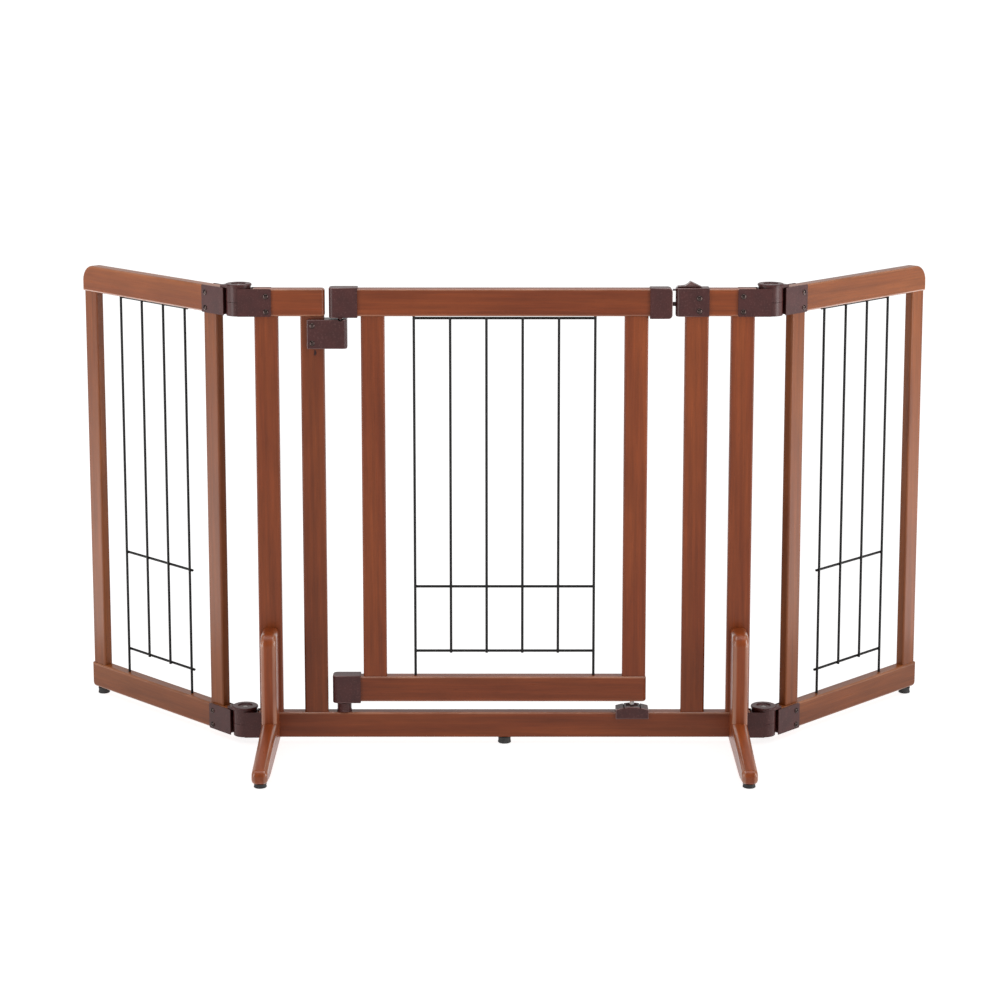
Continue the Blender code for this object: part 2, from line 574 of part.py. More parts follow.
# ---- door ----
def make_pivot_block(name, z_low, z_high, rail_low, rail_high):
    """A block over the end of a door rail, with rounded corners that clear the post as it turns."""
    half = PIVOT_BLOCK_DEPTH / 2
    corner = PIVOT_X - PIVOT_BLOCK_REACH + PIVOT_BLOCK_CORNER
    outline = [(BLOCK_END, -half), (BLOCK_END, half)]
    outline += arc((corner, half - PIVOT_BLOCK_CORNER), PIVOT_BLOCK_CORNER, 90, 180, CORNER_STEPS)
    outline += arc((corner, PIVOT_BLOCK_CORNER - half), PIVOT_BLOCK_CORNER, 180, 270, CORNER_STEPS)
    block = finish(name, prism_shape(outline, "Z", z_low, z_high, RIM_CHAMFER), PLASTIC, DOOR)
    pocket = box_shape(
        (BLOCK_END - PIVOT_BLOCK_OVERLAP - FIT_GAP, -HALF_RAIL - FIT_GAP, rail_low - FIT_GAP),
        (BLOCK_END + OVERCUT, HALF_RAIL + FIT_GAP, rail_high + FIT_GAP))
    combine(block, finish(name + "_pocket", pocket, PLASTIC, DOOR, smooth=False), "DIFFERENCE")
    bore_top = z_low + PIVOT_BORE_SHARE * (z_high - z_low)
    bore = cylinder_shape(PIVOT_X, 0.0, z_low - CAM_HALF_WIDTH, bore_top,
                          PIVOT_PIN_RADIUS + PIN_CLEARANCE, SMALL_SIDES)
    combine(block, finish(name + "_bore", bore, PLASTIC, DOOR, smooth=False), "DIFFERENCE")
    return block


def make_upper_pivot_block():
    """The upper block also carries a cam ridge across its underside, cut before its bore."""
    low = HEAD_BOTTOM - PIVOT_BLOCK_WALL
    block = make_pivot_block("door_upper_pivot_block", low, GATE_HEIGHT + PIVOT_BLOCK_WALL,
                             HEAD_BOTTOM, GATE_HEIGHT)
    tip = low - UPPER_PIVOT_GAP + CAM_TIP_GAP
    half = PIVOT_BRACKET_DEPTH / 2
    ridges = []
    for front in (-1, 1):
        ends = sorted((front * half, front * (PIVOT_PIN_RADIUS + 2 * PIN_CLEARANCE)))
        ridge = [(PIVOT_X - CAM_HALF_WIDTH, low + OVERCUT), (PIVOT_X, tip),
                 (PIVOT_X + CAM_HALF_WIDTH, low + OVERCUT)]
        ridges.append(prism_shape(ridge, "Y", *ends))
    combine(block, finish("cam_ridge", joined(ridges), PLASTIC, DOOR, smooth=False), "UNION")


def make_door():
    rail_start = BLOCK_END - PIVOT_BLOCK_OVERLAP
    top_end = CAP_START + PIVOT_BLOCK_OVERLAP
    head = make_rail("door_top_rail", rail_start, top_end, HEAD_BOTTOM, GATE_HEIGHT, DOOR)
    sill = make_rail("door_bottom_rail", rail_start, DOOR_HALF_WIDTH + RAIL_OVERHANG, DOOR_SILL_BOTTOM,
                     DOOR_SILL_TOP, DOOR)
    for side, word in ((-1, "left"), (1, "right")):
        make_post(f"door_{word}_post", side * DOOR_POST_X, POST_WIDTH, DOOR_SILL_TOP, HEAD_BOTTOM, DOOR)
    places = [(i - (DOOR_WIRES - 1) / 2) * WIRE_PITCH for i in range(DOOR_WIRES)]
    outer_wires = (min(places), max(places))
    crosses = (outer_wires[0] - WIRE_RADIUS, outer_wires[1] + WIRE_RADIUS)
    make_grille("door_wire_grille", places, DOOR_CROSS_HEIGHTS, DOOR_SILL_TOP, HEAD_BOTTOM,
                TOP_WIRE_DROP, crosses, DOOR)
    drill_wire_holes(head, outer_wires, HEAD_BOTTOM, 1, DOOR)
    drill_wire_holes(sill, outer_wires, DOOR_SILL_TOP, -1, DOOR)

    make_upper_pivot_block()
    make_pivot_block("door_lower_pivot_block", DOOR_SILL_BOTTOM - PIVOT_BLOCK_WALL,
                     DOOR_SILL_TOP + PIVOT_BLOCK_WALL, DOOR_SILL_BOTTOM, DOOR_SILL_TOP)
    make_door_cap()
    pin_low = RAIL_TOP + FIT_GAP + CATCH_RISE + CATCH_PIN_CLEARANCE
    pin = cylinder_shape(CATCH_X, 0.0, pin_low, DOOR_SILL_BOTTOM - FIT_GAP, CATCH_PIN_RADIUS,
                         SMALL_SIDES, chamfer=RIM_CHAMFER)
    finish("door_catch_pin", pin, NYLON, DOOR)


def make_door_cap():
    """The cap on the latch end of the door's top rail, with a pocket that faces the latch bolt."""
    half = HALF_RAIL + CAP_WALL
    low = HEAD_BOTTOM - CAP_DROP
    high = GATE_HEIGHT + HOUSING_TOP_WALL
    outline = [(CAP_START, low)]
    outline += arc((CAP_END - CAP_CORNER, low + CAP_CORNER), CAP_CORNER, -90, 0, CORNER_STEPS)
    outline += arc((CAP_END - CAP_CORNER, high - CAP_CORNER), CAP_CORNER, 0, 90, CORNER_STEPS)
    outline.append((CAP_START, high))
    cap = finish("door_latch_cap", prism_shape(outline, "Y", -half, half, RIM_CHAMFER), PLASTIC, DOOR)
    rail_pocket = box_shape((CAP_START - OVERCUT, -HALF_RAIL - FIT_GAP, HEAD_BOTTOM - FIT_GAP),
                            (CAP_START + PIVOT_BLOCK_OVERLAP + FIT_GAP, HALF_RAIL + FIT_GAP,
                             GATE_HEIGHT + FIT_GAP))
    combine(cap, finish("cap_rail_pocket", rail_pocket, PLASTIC, DOOR, smooth=False), "DIFFERENCE")
    reach = BOLT_SIZE / 2 + SLIDE_CLEARANCE
    keeper = box_shape((CAP_END - KEEPER_DEPTH, -reach, BOLT_Z - reach),
                       (CAP_END + OVERCUT, reach, BOLT_Z + reach))
    combine(cap, finish("cap_keeper", keeper, PLASTIC, DOOR, smooth=False), "DIFFERENCE")


def make_pivot_bracket(low, top):
    """The fixed half of the upper pivot, screwed to the front of the left inner post."""
    half = PIVOT_BRACKET_DEPTH / 2
    left = -INNER_POST_X - PIVOT_BRACKET_LAP
    corner = PIVOT_X + PIVOT_BRACKET_NOSE - PIVOT_BRACKET_CORNER
    outline = [(left, -half)]
    outline += arc((corner, PIVOT_BRACKET_CORNER - half), PIVOT_BRACKET_CORNER, -90, 0, CORNER_STEPS)
    outline += arc((corner, half - PIVOT_BRACKET_CORNER), PIVOT_BRACKET_CORNER, 0, 90, CORNER_STEPS)
    outline.append((left, half))
    bracket = finish("door_pivot_bracket", prism_shape(outline, "Z", low, top, RIM_CHAMFER), PLASTIC,
                     FRAME)
    channel = box_shape((left - OVERCUT, -POST_THICKNESS / 2 - FIT_GAP, low - OVERCUT),
                        (-DOORWAY_HALF + FIT_GAP, POST_THICKNESS / 2 + FIT_GAP, top + OVERCUT))
    combine(bracket, finish("bracket_channel", channel, PLASTIC, FRAME, smooth=False), "DIFFERENCE")
    groove = [(PIVOT_X - CAM_HALF_WIDTH, top + NUDGE), (PIVOT_X, top - CAM_GROOVE_DEPTH),
              (PIVOT_X + CAM_HALF_WIDTH, top + NUDGE), (PIVOT_X, top + OVERCUT)]
    groove_shape = prism_shape(groove, "Y", -half - OVERCUT, half + OVERCUT)
    combine(bracket, finish("bracket_groove", groove_shape, PLASTIC, FRAME, smooth=False), "DIFFERENCE")
    bore = cylinder_shape(PIVOT_X, 0.0, top - BRACKET_BORE_DEPTH, top + OVERCUT,
                          PIVOT_PIN_RADIUS + PIN_CLEARANCE, SMALL_SIDES)
    combine(bracket, finish("bracket_bore", bore, PLASTIC, FRAME, smooth=False), "DIFFERENCE")


def make_door_supports():
    """The fixed halves of the door's two pivots."""
    top = HEAD_BOTTOM - PIVOT_BLOCK_WALL - UPPER_PIVOT_GAP
    make_pivot_bracket(top - PIVOT_BRACKET_HEIGHT, top)
    pin = cylinder_shape(PIVOT_X, 0.0, top - BRACKET_BORE_DEPTH + FIT_GAP, top + PIVOT_PIN_REACH,
                         PIVOT_PIN_RADIUS, SMALL_SIDES, chamfer=RIM_CHAMFER)
    finish("door_upper_pivot_pin", pin, STEEL, FRAME)
    for word, inset in zip(("upper", "lower"), BRACKET_SCREW_INSETS):
        make_face_screw(f"pivot_bracket_screw_{word}", -INNER_POST_X, -PIVOT_BRACKET_DEPTH / 2, top - inset)

    base_top = DOOR_SILL_BOTTOM - PIVOT_BLOCK_WALL - KNUCKLE_GAP
    base = cylinder_shape(PIVOT_X, 0.0, RAIL_TOP + FIT_GAP, base_top, LOWER_STUD_RADIUS)
    stud = finish("door_lower_pivot_stud", base, PLASTIC, FRAME)
    spigot = cylinder_shape(PIVOT_X, 0.0, base_top - OVERCUT, base_top + PIVOT_PIN_REACH,
                            PIVOT_PIN_RADIUS, SMALL_SIDES, chamfer=RIM_CHAMFER)
    combine(stud, finish("stud_spigot", spigot, PLASTIC, FRAME), "UNION")


def make_face_screw(name, x, face_y, z):
    """A pan-head screw standing on a bracket's front face."""
    head = bmesh.new()
    bmesh.ops.create_cone(head, cap_ends=True, segments=SMALL_SIDES, radius1=SCREW_HEAD_RADIUS,
                          radius2=SCREW_HEAD_RADIUS - RIM_CHAMFER, depth=SCREW_HEAD_HEIGHT)
    turn = Vector((0.0, 0.0, 1.0)).rotation_difference(Vector((0.0, -1.0, 0.0)))
    bmesh.ops.rotate(head, verts=head.verts, cent=(0.0, 0.0, 0.0), matrix=turn.to_matrix())
    place = (x, face_y - FIT_GAP - SCREW_HEAD_HEIGHT / 2, z)
    bmesh.ops.translate(head, verts=head.verts, vec=place)
    return finish(name, head, STEEL, FRAME)


def make_catch():
    """The saddle that the door's pin drops into."""
    base = RAIL_TOP + FIT_GAP
    left = CATCH_X - CATCH_LENGTH / 2
    right = CATCH_X + CATCH_LENGTH / 2
    outline = [(left, base - CATCH_SKIRT), (right, base - CATCH_SKIRT)]
    for step in range(CATCH_STEPS + 1):
        along = step / CATCH_STEPS
        rise = CATCH_EDGE + (CATCH_RISE - CATCH_EDGE) * math.sin(math.pi * along)
        outline.append((right + (left - right) * along, base + rise))
    body = prism_shape(outline, "Y", -CATCH_DEPTH / 2, CATCH_DEPTH / 2, RIM_CHAMFER)
    catch = finish("lower_door_catch", body, PLASTIC, FRAME)
    seat = box_shape((left - OVERCUT, -HALF_RAIL - FIT_GAP, base - CATCH_SKIRT - OVERCUT),
                     (right + OVERCUT, HALF_RAIL + FIT_GAP, base))
    combine(catch, finish("catch_seat", seat, PLASTIC, FRAME, smooth=False), "DIFFERENCE")
    top = base + CATCH_RISE + OVERCUT
    valley = [(-CATCH_VALLEY_HALF, top), (0.0, top - CATCH_VALLEY - OVERCUT), (CATCH_VALLEY_HALF, top)]
    valley_shape = prism_shape(valley, "X", CATCH_X - CATCH_VALLEY_LENGTH / 2,
                               CATCH_X + CATCH_VALLEY_LENGTH / 2)
    combine(catch, finish("catch_valley", valley_shape, PLASTIC, FRAME, smooth=False), "DIFFERENCE")


# ---- latch ----
def make_latch_housing():
    half = HOUSING_DEPTH / 2
    corner = HOUSING_START + HOUSING_CORNER
    outline = [(HOUSING_END, -half), (HOUSING_END, half)]
    outline += arc((corner, half - HOUSING_CORNER), HOUSING_CORNER, 90, 180, CORNER_STEPS)
    outline += arc((corner, HOUSING_CORNER - half), HOUSING_CORNER, 180, 270, CORNER_STEPS)
    body = prism_shape(outline, "Z", HEAD_BOTTOM, HOUSING_TOP, RIM_CHAMFER)
    housing = finish("latch_housing", body, PLASTIC, FRAME)
    bore = BOLT_SIZE / 2 + SLIDE_CLEARANCE
    stem = STEM_THICKNESS / 2 + SLIDE_CLEARANCE
    tongue = TONGUE_WIDTH / 2 + SLIDE_CLEARANCE
    slot_end = BOLT_SHOULDER + LATCH_TRAVEL + SLIDE_CLEARANCE
    cuts = {
        "pocket": ((HOUSING_RAIL_START - FIT_GAP, -HALF_RAIL - FIT_GAP, HEAD_BOTTOM - OVERCUT),
                   (HOUSING_END + OVERCUT, HALF_RAIL + FIT_GAP, GATE_HEIGHT + FIT_GAP)),
        "cavity": ((HOUSING_START - OVERCUT, -bore, BOLT_Z - bore), (HOUSING_CAVITY_END, bore, BOLT_Z + bore)),
        "slot": ((BOLT_SHOULDER - STEM_LENGTH - SLIDE_CLEARANCE, -stem, BOLT_Z),
                 (slot_end, stem, HOUSING_TOP + OVERCUT)),
        "channel": ((HOUSING_START - OVERCUT, -tongue, TONGUE_TOP - TONGUE_THICKNESS - SLIDE_CLEARANCE),
                    (slot_end, tongue, TONGUE_TOP + SLIDE_CLEARANCE)),
    }
    for word, (low, high) in cuts.items():
        tool = finish("housing_" + word, box_shape(low, high), PLASTIC, FRAME, smooth=False)
        combine(housing, tool, "DIFFERENCE")


def thumb_outline(base):
    """The thumb rest from the side: level, then a hollow rise to its peak, then a straight fall."""
    start = HOUSING_START + THUMB_INSET
    end = start + THUMB_LENGTH
    foot = start + THUMB_FLAT
    outline = [(start, base), (end, base), (foot + THUMB_RUN, base + THUMB_PEAK)]
    for step in range(1, CORNER_STEPS + 1):
        along = step / CORNER_STEPS
        rise = THUMB_EDGE + (THUMB_PEAK - THUMB_EDGE) * (1 - along) ** THUMB_HOLLOW
        outline.append((foot + THUMB_RUN * (1 - along), base + rise))
    outline.append((start, base + THUMB_EDGE))
    return outline


def make_latch_slider():
    """Bolt, tongue, stem and thumb rest in one moulding."""
    half = BOLT_SIZE / 2
    bolt = box_shape((BOLT_NOSE, -half, BOLT_Z - half), (BOLT_SHOULDER, half, BOLT_Z + half))
    slider = finish("latch_slider", bolt, PLASTIC, LATCH)
    thumb_low = HOUSING_TOP + FIT_GAP
    stem = box_shape((BOLT_SHOULDER - STEM_LENGTH, -STEM_THICKNESS / 2, BOLT_Z),
                     (BOLT_SHOULDER - NUDGE, STEM_THICKNESS / 2, thumb_low + THUMB_EDGE / 2))
    combine(slider, finish("slider_stem", stem, PLASTIC, LATCH, smooth=False), "UNION")
    tongue = box_shape((BOLT_NOSE, -TONGUE_WIDTH / 2, TONGUE_TOP - TONGUE_THICKNESS),
                       (BOLT_SHOULDER - 2 * NUDGE, TONGUE_WIDTH / 2, TONGUE_TOP))
    combine(slider, finish("slider_tongue", tongue, PLASTIC, LATCH, smooth=False), "UNION")
    thumb = prism_shape(thumb_outline(thumb_low), "Y", THUMB_BACK_SHIFT - THUMB_WIDTH / 2,
                        THUMB_BACK_SHIFT + THUMB_WIDTH / 2)
    combine(slider, finish("slider_thumb", thumb, PLASTIC, LATCH), "UNION")


def make_latch_spring():
    """A compression spring between the bolt's shoulder and the housing's back wall."""
    start = BOLT_SHOULDER + FIT_GAP + SPRING_WIRE
    end = HOUSING_CAVITY_END - FIT_GAP - SPRING_WIRE
    curve = bpy.data.curves.new("latch_spring", "CURVE")
    curve.dimensions = "3D"
    curve.bevel_depth = SPRING_WIRE
    curve.bevel_resolution = 1
    curve.use_fill_caps = True
    steps = SPRING_TURNS * SPRING_STEPS
    line = curve.splines.new("POLY")
    line.points.add(steps)
    for step in range(steps + 1):
        along = step / steps
        angle = 2 * math.pi * SPRING_TURNS * along
        place = Vector((start + (end - start) * along, SPRING_RADIUS * math.cos(angle),
                        BOLT_Z + SPRING_RADIUS * math.sin(angle)))
        line.points[step].co = (*place, 1.0)
    curve.materials.append(STEEL)
    spring = bpy.data.objects.new("latch_spring", curve)
    spring.parent = FRAME
    bpy.context.scene.collection.objects.link(spring)


make_centre_frame()
make_support_legs()
for wing_side, wing_word in ((-1, "left"), (1, "right")):
    make_wing(wing_side, wing_word)
    make_hinge(wing_side, wing_word, "lower", RAIL_BOTTOM, RAIL_TOP)
    make_hinge(wing_side, wing_word, "upper", HEAD_BOTTOM, GATE_HEIGHT)
make_door()
make_door_supports()
make_catch()
make_latch_housing()
make_latch_slider()
make_latch_spring()
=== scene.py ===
import json
import math
import random

import bmesh
import bpy
from mathutils import Matrix, Vector

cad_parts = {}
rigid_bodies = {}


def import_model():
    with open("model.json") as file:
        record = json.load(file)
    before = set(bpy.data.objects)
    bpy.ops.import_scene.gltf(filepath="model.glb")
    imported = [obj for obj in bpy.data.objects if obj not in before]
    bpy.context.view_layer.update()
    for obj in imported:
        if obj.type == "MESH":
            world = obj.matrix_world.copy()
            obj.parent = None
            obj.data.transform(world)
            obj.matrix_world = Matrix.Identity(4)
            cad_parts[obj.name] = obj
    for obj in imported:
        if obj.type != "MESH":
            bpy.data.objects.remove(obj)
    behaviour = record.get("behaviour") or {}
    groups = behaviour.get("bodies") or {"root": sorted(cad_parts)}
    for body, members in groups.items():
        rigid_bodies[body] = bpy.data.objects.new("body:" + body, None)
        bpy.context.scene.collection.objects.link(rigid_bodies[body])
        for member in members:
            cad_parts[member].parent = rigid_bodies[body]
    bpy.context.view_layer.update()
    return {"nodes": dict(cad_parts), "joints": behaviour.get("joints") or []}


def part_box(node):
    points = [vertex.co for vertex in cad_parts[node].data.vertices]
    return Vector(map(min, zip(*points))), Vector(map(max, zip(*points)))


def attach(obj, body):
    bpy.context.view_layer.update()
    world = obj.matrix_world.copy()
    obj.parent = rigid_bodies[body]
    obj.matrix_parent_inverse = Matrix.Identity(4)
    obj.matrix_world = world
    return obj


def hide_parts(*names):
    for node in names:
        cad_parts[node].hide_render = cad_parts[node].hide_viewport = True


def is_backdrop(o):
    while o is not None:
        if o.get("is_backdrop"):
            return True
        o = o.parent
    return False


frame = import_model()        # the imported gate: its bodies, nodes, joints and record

joints = {joint["name"]: joint for joint in frame["joints"]}
hingeX, hingeY = joints["right_wing_fold"]["pos_m"][:2]
pivotX = joints["door_swing"]["pos_m"][0]
sides = ((-1, "left"), (1, "right"))

gate = {
    "wingFold": math.radians(46),    # how far back each wing stands
    "halfRail": 0.010,
    "gap": 0.00008,                  # left between pieces that touch
    "fitGap": 0.0003,                # between a board and the fitting around it
    "overcut": 0.001,                # how far a cutting solid reaches past what it cuts
    "hair": 1e-5,                    # keeps joined solids off shared planes
    "sharpAngle": math.radians(38),
}
fitGap, overcut, hair = gate["fitGap"], gate["overcut"], gate["hair"]
sleeve = gate["halfRail"] + fitGap    # half the room for a rail inside a fitting


# small helpers for places

def foldPoint(point, side, way):
    axis = Vector((side * hingeX, hingeY, 0.0))
    return Matrix.Rotation(way * side * gate["wingFold"], 3, "Z") @ (Vector(point) - axis) + axis


def nodeBox(node, side=0):    # a wing's node is measured with its wing unfolded
    if not side:
        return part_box(node)
    spots = [foldPoint(vert.co, side, -1) for vert in frame["nodes"][node].data.vertices]
    low = Vector([min(spot[i] for spot in spots) for i in range(3)])
    high = Vector([max(spot[i] for spot in spots) for i in range(3)])
    return low, high


def arcPoints(centre, radius, start, end, steps):
    points = []
    for step in range(steps + 1):
        angle = math.radians(start + (end - start) * step / steps)
        points.append((centre[0] + radius * math.cos(angle), centre[1] + radius * math.sin(angle)))
    return points


# small helpers for solids

def newSolid():
    solid = bmesh.new()
    solid.verts.layers.float.new("roundedRim")
    return solid


def outlineSolid(points, axis, low, high):    # axis 0, 1 or 2; points give the other two in order
    solid = newSolid()
    others = [i for i in range(3) if i != axis]
    bottom = []
    for a, b in points:
        place = [0.0, 0.0, 0.0]
        place[others[0]], place[others[1]], place[axis] = a, b, low
        bottom.append(solid.verts.new(place))
    face = solid.faces.new(bottom)
    grown = bmesh.ops.extrude_face_region(solid, geom=[face])
    lift = Vector((0.0, 0.0, 0.0))
    lift[axis] = high - low
    bmesh.ops.translate(solid, vec=lift, verts=[item for item in grown["geom"]
                                                if isinstance(item, bmesh.types.BMVert)])
    bmesh.ops.recalc_face_normals(solid, faces=solid.faces)
    return solid


def boxSolid(low, high):
    points = [(low[0], low[1]), (high[0], low[1]), (high[0], high[1]), (low[0], high[1])]
    return outlineSolid(points, 2, low[2], high[2])


def turnedSolid(profile, x, y, count=48):    # profile is (radius, z) from the bottom up
    solid = newSolid()
    rings = []
    for radius, z in profile:
        if radius < 1e-6:
            rings.append([solid.verts.new((x, y, z))])
            continue
        rings.append([solid.verts.new((x + radius * math.cos(2 * math.pi * i / count),
                                       y + radius * math.sin(2 * math.pi * i / count), z))
                      for i in range(count)])
    for lower, upper in zip(rings, rings[1:]):
        for i in range(count):
            j = (i + 1) % count
            corners = [lower[i % len(lower)], lower[j % len(lower)], upper[j % len(upper)],
                       upper[i % len(upper)]]
            if len(lower) == 1:
                corners = corners[1:]
            elif len(upper) == 1:
                corners = corners[:3]
            solid.faces.new(corners)
    for ring, flip in ((rings[0], True), (rings[-1], False)):
        if len(ring) > 1:
            solid.faces.new(list(reversed(ring)) if flip else ring)
    bmesh.ops.recalc_face_normals(solid, faces=solid.faces)
    return solid


def isLevel(edge, axis, value=None):    # both ends at one height along that axis
    a, b = edge.verts[0].co[axis], edge.verts[1].co[axis]
    return abs(a - b) < 1e-7 and (value is None or abs(a - value) < 1e-6)


def rimsBeside(solid, axis, x):    # the edges level along that axis, but not those lying in the plane at x
    return [edge for edge in solid.edges if isLevel(edge, axis)
            and any(abs(vert.co.x - x) > hair for vert in edge.verts)]


def roundEdges(solid, edges, radius, segments):
    roundedRim = solid.verts.layers.float["roundedRim"]
    made = bmesh.ops.bevel(solid, geom=list(edges), offset=radius, segments=segments, profile=0.5,
                           affect="EDGES", clamp_overlap=True)
    fresh = set(made["faces"])
    # mark the rims' own vertices, which the materials paint paler as a highlight
    for vert in made["verts"]:
        if vert.is_valid and all(face in fresh for face in vert.link_faces):
            vert[roundedRim] = 1.0
    return solid


def soften(solid, radius, segments=2, limit=40):    # breaks every outside edge sharper than the limit
    edges = [edge for edge in solid.edges if len(edge.link_faces) == 2 and edge.is_convex
             and edge.calc_face_angle(0) > math.radians(limit)]
    return roundEdges(solid, edges, radius, segments)


def meshOf(solid, name):
    mesh = bpy.data.meshes.new(name)
    solid.to_mesh(mesh)
    solid.free()
    return mesh


def baked(thing):    # the object's mesh with its modifiers worked in
    graph = bpy.context.evaluated_depsgraph_get()
    mesh = bpy.data.meshes.new_from_object(thing.evaluated_get(graph), depsgraph=graph)
    thing.modifiers.clear()
    return mesh


def combined(solid, tools, operation):
    base = bpy.data.objects.new("baseSolid", meshOf(solid, "baseSolid"))
    bpy.context.scene.collection.objects.link(base)
    helpers = []
    for tool in tools:
        helper = bpy.data.objects.new("toolSolid", meshOf(tool, "toolSolid"))
        bpy.context.scene.collection.objects.link(helper)
        helpers.append(helper)
        step = base.modifiers.new(operation, "BOOLEAN")
        step.operation, step.solver, step.object = operation, "EXACT", helper
    mesh = baked(base)
    result = bmesh.new()
    result.from_mesh(mesh)
    if "roundedRim" not in result.verts.layers.float:
        result.verts.layers.float.new("roundedRim")
    for thing in [base, *helpers]:
        data = thing.data
        bpy.data.objects.remove(thing)
        bpy.data.meshes.remove(data)
    bmesh.ops.remove_doubles(result, verts=result.verts, dist=1e-6)
    bmesh.ops.dissolve_limit(result, angle_limit=math.radians(0.4), verts=result.verts, edges=result.edges)
    return result


def makePiece(name, solid, material, body, nodes=(), side=0):
    mesh = meshOf(solid, name)
    if side:
        axis = Vector((side * hingeX, hingeY, 0.0))
        mesh.transform(Matrix.Translation(axis) @ Matrix.Rotation(side * gate["wingFold"], 4, "Z")
                       @ Matrix.Translation(-axis))
    mesh.shade_smooth()
    mesh.set_sharp_from_angle(angle=gate["sharpAngle"])
    mesh.materials.clear()
    mesh.materials.append(material)
    thing = bpy.data.objects.new(name, mesh)
    bpy.context.scene.collection.objects.link(thing)
    smoothing = thing.modifiers.new("weightedNormals", "WEIGHTED_NORMAL")
    smoothing.keep_sharp = True
    smoothing.weight = 90
    final = baked(thing)
    thing.data = final
    final.name = name
    bpy.data.meshes.remove(mesh)
    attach(thing, body)
    if nodes:
        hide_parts(*nodes)
    return thing


# materials

def addNode(tree, kind, links=None, **settings):
    made = tree.nodes.new(kind)
    for key, value in settings.items():
        setattr(made, key, value)
    for key, value in (links or {}).items():
        if isinstance(value, bpy.types.NodeSocket):
            tree.links.new(value, made.inputs[key])
        else:
            made.inputs[key].default_value = value
    return made


def mixColours(tree, amount, a, b):
    made = addNode(tree, "ShaderNodeMix", data_type="RGBA")
    for index, value in ((0, amount), (6, a), (7, b)):
        if isinstance(value, bpy.types.NodeSocket):
            tree.links.new(value, made.inputs[index])
        else:
            made.inputs[index].default_value = value
    return made.outputs[2]


def mapRange(tree, value, low, high, toLow, toHigh):
    made = addNode(tree, "ShaderNodeMapRange", {"Value": value, "From Min": low, "From Max": high,
                                                "To Min": toLow, "To Max": toHigh})
    return made.outputs[0]


def stretched(tree, coords, scale):
    return addNode(tree, "ShaderNodeMapping", {"Vector": coords, "Scale": scale}).outputs[0]


def noise(tree, coords, scale, detail, rough=0.5, distortion=0.0):    # one number or three for the scale
    scale = scale if isinstance(scale, tuple) else (scale, scale, scale)
    made = addNode(tree, "ShaderNodeTexNoise", {
        "Vector": stretched(tree, coords, scale), "Scale": 1.0, "Detail": detail, "Roughness": rough,
        "Distortion": distortion})
    return made.outputs["Fac"]


def read(tree, word):    # an attribute that the piece's own mesh carries
    return addNode(tree, "ShaderNodeAttribute", attribute_name=word).outputs["Fac"]


def whole(tree, value, low, high):    # the values between low and high spread from 0 to 1
    return mapRange(tree, value, low, high, 0.0, 1.0)


def calc(tree, operation, a, b=0.0):
    made = addNode(tree, "ShaderNodeMath", operation=operation)
    for index, value in enumerate((a, b)):
        if isinstance(value, bpy.types.NodeSocket):
            tree.links.new(value, made.inputs[index])
        else:
            made.inputs[index].default_value = value
    return made.outputs[0]


def newMaterial(name):
    material = bpy.data.materials.new(name)
    material.use_nodes = True
    return material, material.node_tree, material.node_tree.nodes["Principled BSDF"]


def startMaterial(name):    # a material that reads the object's own coordinates
    material, tree, shader = newMaterial(name)
    return material, tree, shader, addNode(tree, "ShaderNodeTexCoord").outputs["Object"]


def finishMaterial(tree, shader, colour, roughness, gloss=0.5):
    tree.links.new(colour, shader.inputs["Base Color"])
    tree.links.new(roughness, shader.inputs["Roughness"])
    shader.inputs["Specular IOR Level"].default_value = gloss


def polishRims(tree, shader, roundedRim, share, roughness):    # rounded edges shine more than the flats
    tree.links.new(calc(tree, "MULTIPLY", roundedRim, share), shader.inputs["Coat Weight"])
    shader.inputs["Coat Roughness"].default_value = roughness


def setBump(tree, shader, height, strength, distance):
    bump = addNode(tree, "ShaderNodeBump", {"Height": height, "Strength": strength, "Distance": distance})
    tree.links.new(bump.outputs[0], shader.inputs["Normal"])


wood = {
    "dark": (0.110, 0.0200, 0.0055, 1.0),
    "middle": (0.158, 0.0300, 0.0068, 1.0),
    "light": (0.210, 0.0480, 0.0120, 1.0),
    "pore": (0.050, 0.010, 0.005, 1.0),
    # pale rims: partly real wear, partly a painted highlight along the rounded edges
    "paleWearAndSheen": (0.340, 0.155, 0.085, 1.0),
    "golden": (0.97, 1.42, 1.45, 1.0),    # painted light and sheen on the wings' turned faces: the colour turned paler and more golden
    "knot": (0.018, 0.004, 0.004, 1.0),
    "gloss": 0.26,
    "rimPolish": 0.75,
    "rimRoughness": 0.16,
}


